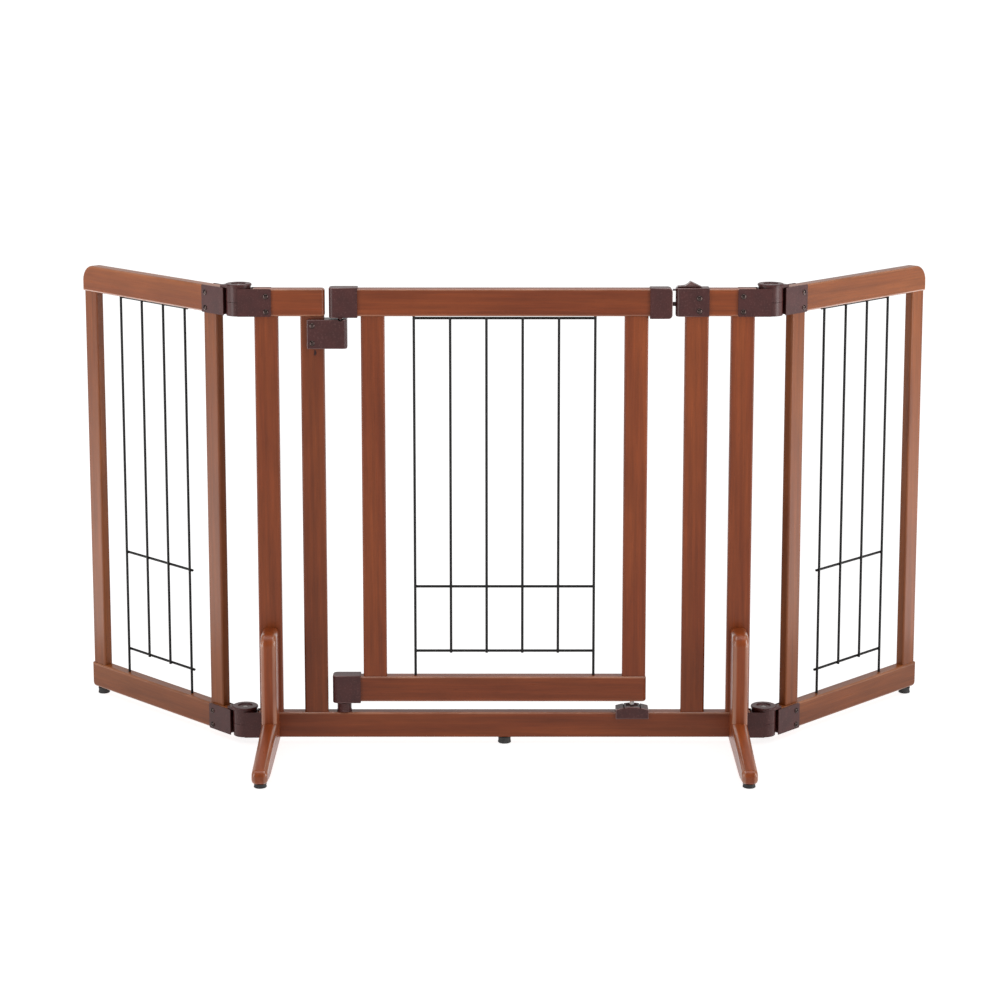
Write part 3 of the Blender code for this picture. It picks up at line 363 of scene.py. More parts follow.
def makeWood(name, knots=()):    # each knot is (centre in grain order, half length, half width)
    material, tree, shader = newMaterial(name)
    grain = addNode(tree, "ShaderNodeAttribute", attribute_name="grain").outputs["Vector"]
    broad = noise(tree, grain, (2.6, 24.0, 24.0), 3.0, 0.55, 0.4)
    streaks = noise(tree, grain, (7.0, 230.0, 230.0), 5.0, 0.6, 0.5)
    fine = noise(tree, grain, (22.0, 900.0, 900.0), 3.0, 0.6)
    pores = noise(tree, grain, (70.0, 2100.0, 2100.0), 2.0)
    blotch = noise(tree, grain, (11.0, 34.0, 34.0), 3.0, 0.6)
    bands = addNode(tree, "ShaderNodeTexWave", {
        "Vector": stretched(tree, grain, (1.1, 46.0, 31.0)), "Scale": 1.0, "Distortion": 7.0, "Detail": 3.0,
        "Detail Scale": 1.4}, wave_type="BANDS", bands_direction="DIAGONAL", wave_profile="SIN")
    waves = bands.outputs["Fac"]
    stain = mixColours(tree, whole(tree, broad, 0.34, 0.66), wood["dark"], wood["light"])
    stain = mixColours(tree, 0.55, stain, wood["middle"])
    tint = addNode(tree, "ShaderNodeVectorMath", operation="MULTIPLY")
    tree.links.new(stain, tint.inputs[0])
    plain = (1.0, 1.0, 1.0, 1.0)
    # painted light and sheen: the wings' colour is turned paler and more golden
    tree.links.new(mixColours(tree, read(tree, "gold"), plain, wood["golden"]), tint.inputs[1])
    shade = read(tree, "tone")
    for figure, low, high, least, most in ((waves, 0.1, 0.9, 0.93, 1.05), (streaks, 0.30, 0.70, 0.86, 1.12),
                                           (fine, 0.3, 0.7, 0.90, 1.09), (blotch, 0.35, 0.65, 0.93, 1.06)):
        shade = calc(tree, "MULTIPLY", shade, mapRange(tree, figure, low, high, least, most))
    shaded = addNode(tree, "ShaderNodeVectorMath", operation="SCALE")
    tree.links.new(tint.outputs[0], shaded.inputs[0])
    tree.links.new(shade, shaded.inputs["Scale"])
    poreMask = mapRange(tree, pores, 0.66, 0.76, 0.0, 0.55)
    colour = mixColours(tree, poreMask, shaded.outputs[0], wood["pore"])
    roundedRim = read(tree, "roundedRim")
    # painted highlight on the rounded rims, partly real wear: the rims are mixed toward a paler colour
    rimWearAndSheen = calc(tree, "MULTIPLY", roundedRim, mapRange(tree, blotch, 0.40, 0.62, 0.20, 0.48))
    colour = mixColours(tree, rimWearAndSheen, colour, wood["paleWearAndSheen"])
    polishRims(tree, shader, roundedRim, wood["rimPolish"], wood["rimRoughness"])
    for centre, length, width in knots:
        place = addNode(tree, "ShaderNodeVectorMath", {1: centre}, operation="SUBTRACT")
        tree.links.new(grain, place.inputs[0])
        wobble = noise(tree, grain, (240.0, 420.0, 420.0), 2.0)
        shrunk = stretched(tree, place.outputs[0], (1 / length, 1 / width, 1 / width))
        distance = addNode(tree, "ShaderNodeVectorMath", {0: shrunk}, operation="LENGTH").outputs["Value"]
        distance = calc(tree, "ADD", distance, mapRange(tree, wobble, 0.3, 0.7, -0.3, 0.3))
        halo = mapRange(tree, distance, 0.9, 2.6, 0.45, 0.0)
        colour = mixColours(tree, halo, colour, wood["dark"])
        colour = mixColours(tree, mapRange(tree, distance, 0.7, 1.15, 1.0, 0.0), colour, wood["knot"])
    finishMaterial(tree, shader, colour, mapRange(tree, streaks, 0.3, 0.7, 0.36, 0.27), wood["gloss"])
    height = calc(tree, "SUBTRACT", calc(tree, "MULTIPLY", fine, 0.6), calc(tree, "MULTIPLY", poreMask, 0.9))
    setBump(tree, shader, height, 0.30, 0.00025)
    return material


plastic = {
    "body": (0.050, 0.0118, 0.0108, 1.0),
    "cloud": (0.038, 0.0090, 0.0084, 1.0),
    # pale flecks, and a painted highlight on the rounded rims
    "paleWearAndSheen": (0.190, 0.095, 0.088, 1.0),
    "gloss": 0.30,
    "rimPolish": 1.0,
    "rimRoughness": 0.20,
}


def makePlastic(name):
    material, tree, shader, coords = startMaterial(name)
    cloud = noise(tree, coords, 55.0, 3.0)
    leather = noise(tree, coords, 1300.0, 3.0, 0.6)
    speck = noise(tree, coords, 420.0, 2.0)
    colour = mixColours(tree, whole(tree, cloud, 0.35, 0.65), plastic["body"], plastic["cloud"])
    colour = mixColours(tree, mapRange(tree, speck, 0.55, 0.75, 0.0, 0.22), colour, plastic["paleWearAndSheen"])
    roundedRim = read(tree, "roundedRim")
    # painted highlight: the rounded rims are mixed toward a paler colour
    rimWearAndSheen = calc(tree, "MULTIPLY", roundedRim, mapRange(tree, cloud, 0.35, 0.6, 0.40, 0.85))
    colour = mixColours(tree, rimWearAndSheen, colour, plastic["paleWearAndSheen"])
    polishRims(tree, shader, roundedRim, plastic["rimPolish"], plastic["rimRoughness"])
    finishMaterial(tree, shader, colour, mapRange(tree, speck, 0.3, 0.7, 0.30, 0.40), plastic["gloss"])
    setBump(tree, shader, leather, 0.22, 0.00012)
    return material


coating = {"dark": (0.0045, 0.0042, 0.0042, 1.0), "light": (0.011, 0.010, 0.0095, 1.0), "gloss": 0.18}


def makeWireCoat(name):
    material, tree, shader, coords = startMaterial(name)
    peel = noise(tree, coords, 900.0, 2.0)
    cloud = noise(tree, coords, (60.0, 60.0, 18.0), 3.0)
    colour = mixColours(tree, whole(tree, cloud, 0.35, 0.65), coating["dark"], coating["light"])
    finishMaterial(tree, shader, colour, mapRange(tree, peel, 0.3, 0.7, 0.34, 0.46), coating["gloss"])
    setBump(tree, shader, peel, 0.10, 0.00004)
    return material


rubber = {"clean": (0.014, 0.013, 0.013, 1.0), "dusty": (0.038, 0.036, 0.034, 1.0)}


def makeRubber(name):
    material, tree, shader, coords = startMaterial(name)
    dust = noise(tree, coords, (180.0, 180.0, 90.0), 4.0, 0.6)
    grit = noise(tree, coords, 1600.0, 2.0)
    colour = mixColours(tree, whole(tree, dust, 0.4, 0.7), rubber["clean"], rubber["dusty"])
    finishMaterial(tree, shader, colour, mapRange(tree, dust, 0.3, 0.7, 0.62, 0.85))
    setBump(tree, shader, grit, 0.4, 0.0002)
    return material


metals = {    # colour, smoothest and roughest finish
    "screwSteel": ((0.075, 0.052, 0.048, 1.0), 0.16, 0.28),
    "pinSteel": ((0.42, 0.38, 0.36, 1.0), 0.25, 0.40),
}


def makeMetal(name):
    material, tree, shader, coords = startMaterial(name)
    bright, low, high = metals[name]
    dull = tuple(0.6 * part for part in bright[:3]) + (1.0,)
    brushed = noise(tree, coords, (1400.0, 1400.0, 260.0), 3.0, 0.6)
    cloud = noise(tree, coords, 240.0, 2.0)
    colour = mixColours(tree, whole(tree, cloud, 0.35, 0.65), bright, dull)
    finishMaterial(tree, shader, colour, mapRange(tree, brushed, 0.3, 0.7, low, high))
    shader.inputs["Metallic"].default_value = 1.0
    setBump(tree, shader, brushed, 0.15, 0.00006)
    return material


nylon = {"shaded": (0.60, 0.53, 0.50, 1.0), "light": (0.70, 0.64, 0.62, 1.0), "depth": 0.002, "glow": 0.1}


def makeNylon(name):
    material, tree, shader, coords = startMaterial(name)
    cloud = noise(tree, coords, 300.0, 3.0)
    colour = mixColours(tree, cloud, nylon["shaded"], nylon["light"])
    finishMaterial(tree, shader, colour, mapRange(tree, cloud, 0.3, 0.7, 0.30, 0.42))
    shader.inputs["Subsurface Weight"].default_value = nylon["glow"]
    shader.inputs["Subsurface Scale"].default_value = nylon["depth"]
    setBump(tree, shader, cloud, 0.1, 0.0001)
    return material


stainedWood = makeWood("stainedWood")
maroonPlastic = makePlastic("maroonPlastic")
wireCoat = makeWireCoat("blackWireCoat")
footRubber = makeRubber("footRubber")
screwSteel = makeMetal("screwSteel")
pinSteel = makeMetal("pinSteel")
pinNylon = makeNylon("catchNylon")
kinds = {    # how a piece is made says its material and slot
    "wood": (stainedWood, "stained_wood"),
    "moulded": (maroonPlastic, "maroon_plastic"),
    "welded": (wireCoat, "black_wire"),
    "rubber": (footRubber, "black_rubber"),
    "turned": (pinSteel, "zinc_steel"),
}


def makeNode(node, kind, solid, body, side=0, material=None):    # the piece that stands for one node
    usual, slotName = kinds[kind]
    makePiece(f"{node}_{kind}", solid, material or usual, body, [node], side)


print("materials ready")


# wood

board = {
    "rimRadius": 0.0033,        # along the rails' long edges
    "endRadius": 0.0060,        # at the rails' upright end edges
    "postRadius": 0.0032,
    "segments": 4,
    "cornerRadius": 0.025,      # outer upper corner of a wing
    "toeRadius": 0.007,
    "notchHalf": 0.012,         # the bottom rail's notch over a leg's tongue
    "notchHeight": 0.012,
    "knotPlace": (-0.2816, 0.6035),    # a dark drop-shaped knot under the pivot bracket
    "knotSize": (0.0048, 0.0019),
}
tones = {    # how light each board is against the others
    "left_inner_post": 0.79, "centre_bottom_rail": 0.93, "door_bottom_rail": 0.94, "door_left_post": 0.98,
    "left_outer_post": 0.96, "right_outer_post": 1.06, "left_support_leg": 1.16, "right_support_leg": 1.16,
    "door_right_post": 1.07, "door_top_rail": 1.04,
    "left_wing_top_rail": 1.20, "right_wing_top_rail": 1.02, "left_wing_bottom_rail": 1.02,
    "right_wing_bottom_rail": 0.95,
}
golds = {"wing": 0.72, "other": 0.10}    # how far each board's colour is turned paler and more golden; on the wings this is painted light and sheen
draw = random.Random(41)


def addTone(solid, node):
    tone = solid.verts.layers.float.new("tone")
    gold = solid.verts.layers.float.new("gold")
    for vert in solid.verts:
        vert[tone] = tones.get(node, 1.0)
        vert[gold] = golds["wing" if "_wing_" in node else "other"]


def addGrain(solid, along):    # the grain runs along that axis, and each board starts elsewhere in it
    layer = solid.verts.layers.float_vector.new("grain")
    shift = Vector((draw.uniform(-9, 9), draw.uniform(-3, 3), draw.uniform(-3, 3)))
    others = [i for i in range(3) if i != along]
    for vert in solid.verts:
        vert[layer] = Vector((vert.co[along], vert.co[others[0]], vert.co[others[1]])) + shift
    return shift


def railSolid(low, high):
    solid = boxSolid(low, high)
    roundEdges(solid, [edge for edge in solid.edges if not isLevel(edge, 2)], board["endRadius"], 5)
    rims = [edge for edge in solid.edges if isLevel(edge, 2, low[2]) or isLevel(edge, 2, high[2])]
    return roundEdges(solid, rims, board["rimRadius"], board["segments"])


def makeRail(node, body, side=0, cuts=()):
    low, high = nodeBox(node, side)
    solid = railSolid(low, high)
    if cuts:
        solid = combined(solid, cuts, "DIFFERENCE")
    addTone(solid, node)
    addGrain(solid, 0)
    makeNode(node, "wood", solid, body, side)


def makePost(node, body, side=0, knot=None):
    low, high = nodeBox(node, side)
    material = stainedWood
    spare = fitGap - gate["gap"]
    solid = boxSolid((low[0], low[1], low[2] - spare), (high[0], high[1], high[2] + spare))
    roundEdges(solid, [edge for edge in solid.edges if not isLevel(edge, 2)], board["postRadius"],
               board["segments"])
    addTone(solid, node)
    shift = addGrain(solid, 2)
    if knot:
        (x, y, z), length, width = knot
        material = makeWood("knottyWood", [(Vector((z, x, y)) + shift, length, width)])
    makeNode(node, "wood", solid, body, side, material)


sillLow, sillHigh = nodeBox("centre_bottom_rail")
notches = []
for side, word in sides:
    low, high = nodeBox(word + "_support_leg")
    notches.append(boxSolid((low[0] - fitGap, -board["notchHalf"], sillLow[2] - overcut),
                            (high[0] + fitGap, board["notchHalf"], sillLow[2] + board["notchHeight"])))
makeRail("centre_bottom_rail", "centre_frame", cuts=notches)
for node, body in (("left_top_rail", "centre_frame"), ("right_top_rail", "centre_frame"),
                   ("door_top_rail", "door"), ("door_bottom_rail", "door")):
    makeRail(node, body)
for node in ("left_outer_post", "right_inner_post", "right_outer_post"):
    makePost(node, "centre_frame")
knotX, knotZ = board["knotPlace"]
knotCentre = (knotX, nodeBox("left_inner_post")[0][1], knotZ)
makePost("left_inner_post", "centre_frame", knot=(knotCentre, *board["knotSize"]))
for node in ("door_left_post", "door_right_post"):
    makePost(node, "door")


def makeWingWood(side, word):
    body = word + "_wing"
    for level, corner, turn, steps in (("top", board["cornerRadius"], 90, 14),
                                       ("bottom", board["toeRadius"], -90, 7)):
        node = f"{word}_wing_{level}_rail"
        low, high = nodeBox(node, side)
        inner, outer = (high[0], low[0]) if side < 0 else (low[0], high[0])
        near, far = (low[2], high[2]) if turn > 0 else (high[2], low[2])
        cornerZ = far - corner if turn > 0 else far + corner
        points = [(inner, near), (outer, near)]
        points += [(outer - side * corner + side * u, v)
                   for u, v in arcPoints((0.0, cornerZ), corner, 0, turn, steps)]
        points.append((inner, far))
        solid = outlineSolid(points, 1, low[1], high[1])
        rims = [edge for edge in solid.edges if isLevel(edge, 1)]
        roundEdges(solid, rims, board["rimRadius"], board["segments"])
        addTone(solid, node)
        addGrain(solid, 0)
        makeNode(node, "wood", solid, body, side)
    for post in ("inner", "outer"):
        makePost(f"{word}_wing_{post}_post", body, side)


for side, word in sides:
    makeWingWood(side, word)
print("rails and posts ready")

leg = {
    "face": 0.0554,            # middle of the gate to the upright's outer face
    "crease": 0.0456,
    "toeHeight": 0.0285,
    "toeRadius": 0.0105,
    "soleRadius": 0.0075,
    "crownRadius": 0.018,
    "edgeRadius": 0.0066,
    "padHeight": 0.0070,
    "postFront": 0.00725,      # middle of the gate to the post's front face
    "tongueTop": 0.0117,       # above the bottom rail's underside
    "grainShift": 0.2,         # the foot's grain starts elsewhere than the upright's
}


def makeLeg(side, word):
    node = word + "_support_leg"
    low, high = nodeBox(node)
    front, slot, cheek = low[1], -sleeve, -leg["postFront"] - fitGap
    shoulder, bridge = sillHigh[2] + fitGap, sillLow[2] + leg["tongueTop"]
    outline = [(gate["halfRail"], bridge), (gate["halfRail"], leg["padHeight"])]
    sole, radius = leg["soleRadius"], leg["toeRadius"]
    outline += arcPoints((front + sole, leg["padHeight"] + sole), sole, 270, 180, 5)
    outline += arcPoints((front + radius, leg["toeHeight"] - radius), radius, 180, 100, 8)
    outline.append((-leg["face"], leg["crease"]))
    crown = leg["crownRadius"]
    outline += arcPoints((crown - leg["face"], high[2] - crown), crown, 180, 90, 12)
    outline += [(cheek, high[2]), (cheek, shoulder), (slot, shoulder), (slot, bridge)]
    solid = outlineSolid(outline, 0, low[0], high[0])
    rims = [edge for edge in solid.edges if isLevel(edge, 0)
            and all(vert.co.y < slot - fitGap or vert.co.z > high[2] - crown for vert in edge.verts)]
    roundEdges(solid, rims, leg["edgeRadius"], 5)
    bmesh.ops.bisect_plane(solid, geom=list(solid.verts) + list(solid.edges) + list(solid.faces), dist=1e-6,
                           plane_co=(0.0, 0.0, leg["crease"]), plane_no=(0.0, 0.0, 1.0))
    addTone(solid, node)
    layer = solid.loops.layers.float_vector.new("grain")
    shift = Vector((draw.uniform(-9, 9), draw.uniform(-3, 3), draw.uniform(-3, 3)))
    for face in solid.faces:
        upright = face.calc_center_median().z > leg["crease"]
        for loop in face.loops:
            x, y, z = loop.vert.co
            loop[layer] = Vector((z, x, y) if upright else (y, x, z + leg["grainShift"])) + shift
    makeNode(node, "wood", solid, "centre_frame")


for side, word in sides:
    makeLeg(side, word)


# rubber feet

foot = {"chamfer": 0.0012, "waist": 0.0006}


def makeFoot(node, body, side=0):
    low, high = nodeBox(node, side)
    x, y = (low[0] + high[0]) / 2, (low[1] + high[1]) / 2
    radius, chamfer, waist = (high[0] - low[0]) / 2, foot["chamfer"], foot["waist"]
    bottom, top = low[2], high[2]
    profile = [(radius - 2 * chamfer, bottom)]
    profile += [(radius - chamfer + r, z) for r, z in arcPoints((0.0, bottom + chamfer), chamfer, -90, 0, 4)]
    profile += [(radius - waist, bottom + 0.45 * (top - bottom)), (radius - waist, top - 2 * chamfer)]
    profile += [(radius - chamfer + r, z) for r, z in arcPoints((0.0, top - chamfer), chamfer, 0, 90, 4)]
    makeNode(node, "rubber", turnedSolid(profile, x, y, 40), body, side)


makeFoot("centre_foot", "centre_frame")
for side, word in sides:
    makeFoot(word + "_front_foot_pad", "centre_frame")
    makeFoot(word + "_wing_foot", word + "_wing", side)
print("legs and feet ready")


# wire grilles

wires = {
    "radius": 0.0020,
    "sides": 14,
    "sink": 0.0006,            # how deep crossing wires melt into each other
    "weldSize": 1.12,          # a weld bead against the wire
    "holeDepth": 0.0075,
    "overhang": 0.003,         # a wing's cross wires past its first upright wire
    "topDrop": {"door": 0.0042, "wing": 0.0024},
    "pitch": {"door": 0.054, "wing": 0.0545},
    "crossHeights": {"door": (0.2437, 0.1432), "wing": (0.2463, 0.0876)},
}


def newTree(name, inputs):
    tree = bpy.data.node_groups.new(name, "GeometryNodeTree")
    tree.interface.new_socket(name="Geometry", in_out="INPUT", socket_type="NodeSocketGeometry")
    sockets = {}
    for word, kind in inputs.items():
        sockets[word] = tree.interface.new_socket(name=word, in_out="INPUT", socket_type=kind).identifier
    tree.interface.new_socket(name="Geometry", in_out="OUTPUT", socket_type="NodeSocketGeometry")
    return tree, tree.nodes.new("NodeGroupInput"), tree.nodes.new("NodeGroupOutput"), sockets


def endTree(tree, given, out, geometry):    # every tree ends alike
    smooth = addNode(tree, "GeometryNodeSetShadeSmooth", {"Geometry": geometry})
    real = addNode(tree, "GeometryNodeRealizeInstances", {"Geometry": smooth.outputs[0]})
    painted = addNode(tree, "GeometryNodeSetMaterial", {"Geometry": real.outputs[0],
                                                        "Material": given.outputs["Material"]})
    tree.links.new(painted.outputs[0], out.inputs[0])


def buildWireTree():
    tree, given, out, sockets = newTree("wireGrille", {
        "Wire radius": "NodeSocketFloat", "Sides": "NodeSocketInt", "Weld size": "NodeSocketFloat",
        "Material": "NodeSocketMaterial"})
    paths = addNode(tree, "GeometryNodeMeshToCurve", {"Mesh": given.outputs["Geometry"]})
    ring = addNode(tree, "GeometryNodeCurvePrimitiveCircle", {
        "Resolution": given.outputs["Sides"], "Radius": given.outputs["Wire radius"]})
    tubes = addNode(tree, "GeometryNodeCurveToMesh", {
        "Curve": paths.outputs[0], "Profile Curve": ring.outputs[0], "Fill Caps": True})
    beadRadius = calc(tree, "MULTIPLY", given.outputs["Wire radius"], given.outputs["Weld size"])
    bead = addNode(tree, "GeometryNodeMeshUVSphere", {"Segments": 12, "Rings": 8, "Radius": beadRadius})
    isWeld = addNode(tree, "GeometryNodeInputNamedAttribute", {"Name": "weld"}, data_type="BOOLEAN")
    beads = addNode(tree, "GeometryNodeInstanceOnPoints", {
        "Points": given.outputs["Geometry"], "Selection": isWeld.outputs["Attribute"],
        "Instance": bead.outputs["Mesh"]})
    both = addNode(tree, "GeometryNodeJoinGeometry")
    tree.links.new(tubes.outputs[0], both.inputs[0])
    tree.links.new(beads.outputs[0], both.inputs[0])
    endTree(tree, given, out, both.outputs[0])
    return tree, sockets


def grown(name, verts, edges, tree, sockets, values, marks):    # runs a tree on a set of points
    mesh = bpy.data.meshes.new(name)
    mesh.from_pydata(verts, edges, [])
    for word, kind, data in marks:
        layer = mesh.attributes.new(word, kind, "POINT")
        layer.data.foreach_set("vector" if kind == "FLOAT_VECTOR" else "value", data)
    thing = bpy.data.objects.new(name, mesh)
    bpy.context.scene.collection.objects.link(thing)
    step = thing.modifiers.new(tree.name, "NODES")
    step.node_group = tree
    for word, value in values.items():
        step[sockets[word]] = value
    bpy.context.view_layer.update()
    result = bmesh.new()
    result.from_mesh(baked(thing))
    bpy.data.objects.remove(thing)
    return result


wireTree, wireSockets = buildWireTree()


def makeGrille(node, body, places, span, sill, side=0):
    kind = "wing" if side else "door"
    radius, crossHeights = wires["radius"], wires["crossHeights"][kind]
    crossY = 2 * radius - wires["sink"]
    topCross = headLow - wires["topDrop"][kind]
    verts, edges, welds = [], [], []

    def line(a, b):
        edges.append((len(verts), len(verts) + 1))
        verts.extend((a, b))
        welds.extend((False, False))

    for x in places:
        outermost = x in (places[0], places[-1])
        low = sill - wires["holeDepth"] if outermost else min(crossHeights) - radius
        high = headLow + wires["holeDepth"] if outermost else topCross + radius
        line((x, 0.0, low), (x, 0.0, high))
        for z in (topCross, *crossHeights):
            verts.append((x, crossY / 2, z))
            welds.append(True)
    for z in (topCross, *crossHeights):
        line((span[0], crossY, z), (span[1], crossY, z))
    solid = grown(node + "Wires", verts, edges, wireTree, wireSockets,
                  {"Wire radius": radius, "Sides": wires["sides"], "Weld size": wires["weldSize"],
                   "Material": wireCoat}, [("weld", "BOOLEAN", welds)])
    makeNode(node, "welded", solid, body, side)


headLow = nodeBox("door_top_rail")[0][2]
places = [(i - 2.5) * wires["pitch"]["door"] for i in range(6)]
span = (places[0] - wires["radius"], places[-1] + wires["radius"])
makeGrille("door_wire_grille", "door", places, span, nodeBox("door_bottom_rail")[1][2])
for side, word in sides:
    inner, outer = (abs(sum(corner[0] for corner in nodeBox(f"{word}_wing_{post}_post", side)) / 2)
                    for post in ("inner", "outer"))
    places = [side * ((inner + outer) / 2 + (i - 1.5) * wires["pitch"]["wing"]) for i in range(4)]
    span = (places[0] - side * wires["overhang"], places[-1] + side * wires["radius"])
    makeGrille(word + "_wing_wire_grille", word + "_wing", places, span, sillHigh[2], side)
print("wire grilles ready")


# hinges

hinge = {
    "radius": 0.0184,
    "discRadius": 0.0197,
    "discRise": 0.006,
    "discThickness": 0.0035,
    "discRim": 0.0006,
    "recessRadius": 0.0114,
    "recessDepth": 0.0016,
    "recessRim": 0.0008,
    "wall": 0.0015,
    "clearance": 0.0005,
    "halfGap": 0.00025,        # half the gap between the two knuckles
    "pinRadius": 0.004,
    "wingPlateStart": 0.012,
    "reach": {"upper": 0.0496, "lower": 0.0295, "wing": 0.0640},
    "webFoot": 0.0016,
    "softEdge": 0.0009,
    "cornerRadius": 0.0022,
    "frameScrew": 0.0417,      # hinge axis to the screws
    "wingScrew": 0.0553,
    "screwShares": (0.27, 0.83),
}
screwSpots = {"centre_frame": [], "left_wing": [], "right_wing": []}    # (place, facing), folded
face = sleeve + hinge["wall"]


def makeLeaf(side, toward, start, reach, z0, z1, k0, k1, wing):    # the knuckle goes from k0 to k1
    x = side * hingeX
    leafStart = hinge["radius"] + hinge["clearance"]
    bottom = leafStart + hinge["wall"]
    channel = [(start, -face), (reach, -face), (reach, -sleeve), (bottom, -sleeve), (bottom, sleeve),
               (reach, sleeve), (reach, face), (leafStart, face), (leafStart, -sleeve), (start, -sleeve)]
    solid = outlineSolid([(x + toward * s, y) for s, y in channel], 2, z0, z1)
    corners = [edge for edge in solid.edges if isLevel(edge, 2) and isLevel(edge, 0, x + toward * reach)]
    roundEdges(solid, corners, hinge["cornerRadius"], 5)
    near, far = sorted((x, x + toward * (leafStart + hinge["wall"] / 2)))
    adds = [turnedSolid([(hinge["radius"], k0), (hinge["radius"], k1)], x, hingeY, 96),
            boxSolid((near, hingeY, k0 + hair), (far, face - hair, min(k1, z1) - hair))]
    hole = hinge["pinRadius"] + fitGap
    cuts = [turnedSolid([(hole, z0 - 0.002), (hole, z1 + 0.02)], x, hingeY, 32)]
    if wing:
        top = z1 + hinge["discRise"]
        discLow = top - hinge["discThickness"]
        webTop, half = top - hinge["discThickness"] / 2, gate["halfRail"]
        near, far = sorted((x, x + toward * (bottom - hair)))
        adds.append(boxSolid((near, -half, z1 + fitGap), (far, half, webTop)))
        near, far = sorted((x + toward * (leafStart + hair), x + toward * (bottom - hair)))
        adds.append(boxSolid((near, -half, z1 - hinge["webFoot"]), (far, half, webTop - hair)))
        r, rim = hinge["discRadius"], hinge["discRim"]
        adds.append(turnedSolid([(r - rim, discLow), (r, discLow + rim), (r, top - 2 * rim),
                                 (r - 0.0004, top - 0.0005), (r - 2 * rim, top - hair)], x, hingeY, 96))
        r, rim, floor = hinge["recessRadius"], hinge["recessRim"], top - hinge["recessDepth"]
        cuts.append(turnedSolid([(r - rim, floor), (r, floor + rim), (r, top + overcut)], x, hingeY, 72))
    solid = combined(combined(solid, adds, "UNION"), cuts, "DIFFERENCE")
    return soften(solid, hinge["softEdge"], 2, 50)


def makeHinge(side, word, level):
    body = word + "_wing"
    stem = f"{word}_{level}_hinge_"
    z0, z1 = (corner[2] for corner in nodeBox(stem + "frame_leaf"))
    middle, top, x = (z0 + z1) / 2, z1 + hinge["discRise"], side * hingeX
    reach, wingReach, gap = hinge["reach"][level], hinge["reach"]["wing"], hinge["halfGap"]
    leaf = makeLeaf(side, -side, 0.0, reach, z0, z1, z0, middle - gap, False)
    makeNode(stem + "frame_leaf", "moulded", leaf, "centre_frame")
    leaf = makeLeaf(side, side, hinge["wingPlateStart"], wingReach, z0, z1, middle + gap, top, True)
    makeNode(stem + "wing_leaf", "moulded", leaf, body, side)
    r, pinTop = hinge["pinRadius"], top - hinge["recessDepth"]
    pin = turnedSolid([(r - 0.0006, z0 + 0.001), (r, z0 + 0.0016), (r, pinTop - 0.0008),
                       (r - 0.0004, pinTop - 0.0002), (r - 0.0012, pinTop), (r - 0.0022, pinTop),
                       (r - 0.0026, pinTop - 0.0004), (0.0, pinTop - 0.0004)], x, hingeY, 40)
    makeNode(stem + "pin", "turned", pin, "centre_frame")
    for share in hinge["screwShares"]:
        z = z0 + (z1 - z0) * (1 - share)
        if level == "upper":
            screwSpots["centre_frame"].append(((x - side * hinge["frameScrew"], -face, z), (0.0, -1.0, 0.0)))
        spot = foldPoint((x + side * hinge["wingScrew"], -face, z), side, 1)
        facing = foldPoint((x, hingeY - 1.0, 0.0), side, 1) - Vector((x, hingeY, 0.0))
        screwSpots[body].append((tuple(spot), tuple(facing)))


for side, word in sides:
    makeHinge(side, word, "lower")
    makeHinge(side, word, "upper")
print("hinges ready")


# door pivots

pivot = {
    "blockCorner": 0.0075,
    "blockHalf": 0.0124,
    "pinRadius": 0.004,
    "blockEdge": 0.0014,
    "socketDepth": 0.0103,     # how far the rail goes into a block
    "holeShare": 0.75,
    "ridgeHalf": 0.0048,
    "ridgeHeight": 0.0018,
    "ridgeFlat": 0.0004,
    "ridgeInner": 0.0046,
    "bracketHalf": 0.0133,
    "bracketCorner": 0.006,
    "bracketEdge": 0.0009,
    "grooveDepth": 0.0026,
    "holeDepth": 0.024,
}
pinHole = pivot["pinRadius"] + fitGap


def makeBlock(node, railNode, ridges):
    low, high = nodeBox(node)
    railLow, railHigh = nodeBox(railNode)
    tip = low[2]
    if ridges:
        low[2] = headLow - pivot["ridgeHeight"]
    half, corner, socket = pivot["blockHalf"], pivot["blockCorner"], pivot["socketDepth"]
    points = [(high[0], -half), (high[0], half)]
    points += arcPoints((low[0] + corner, half - corner), corner, 90, 180, 12)
    points += arcPoints((low[0] + corner, corner - half), corner, 180, 270, 12)
    solid = outlineSolid(points, 2, low[2], high[2])
    roundEdges(solid, rimsBeside(solid, 2, high[0]), pivot["blockEdge"], 3)
    holeTop = low[2] + pivot["holeShare"] * (high[2] - low[2])
    cuts = [boxSolid((high[0] - socket, -sleeve, railLow[2] - fitGap),
                     (high[0] + overcut, sleeve, railHigh[2] + fitGap)),
            turnedSolid([(pinHole, low[2] - 0.004), (pinHole, holeTop)], pivotX, 0.0, 32)]
    solid = combined(solid, cuts, "DIFFERENCE")
    if ridges:
        foot, flat, root = pivot["ridgeHalf"], pivot["ridgeFlat"], low[2] + 0.001
        outline = [(pivotX - foot, root), (pivotX - flat, tip), (pivotX + flat, tip), (pivotX + foot, root)]
        adds = [outlineSolid(outline, 1, *sorted((front * pivot["ridgeInner"], front * pivot["bracketHalf"])))
                for front in (-1, 1)]
        solid = combined(solid, adds, "UNION")
    makeNode(node, "moulded", solid, "door")


makeBlock("door_upper_pivot_block", "door_top_rail", True)
makeBlock("door_lower_pivot_block", "door_bottom_rail", False)


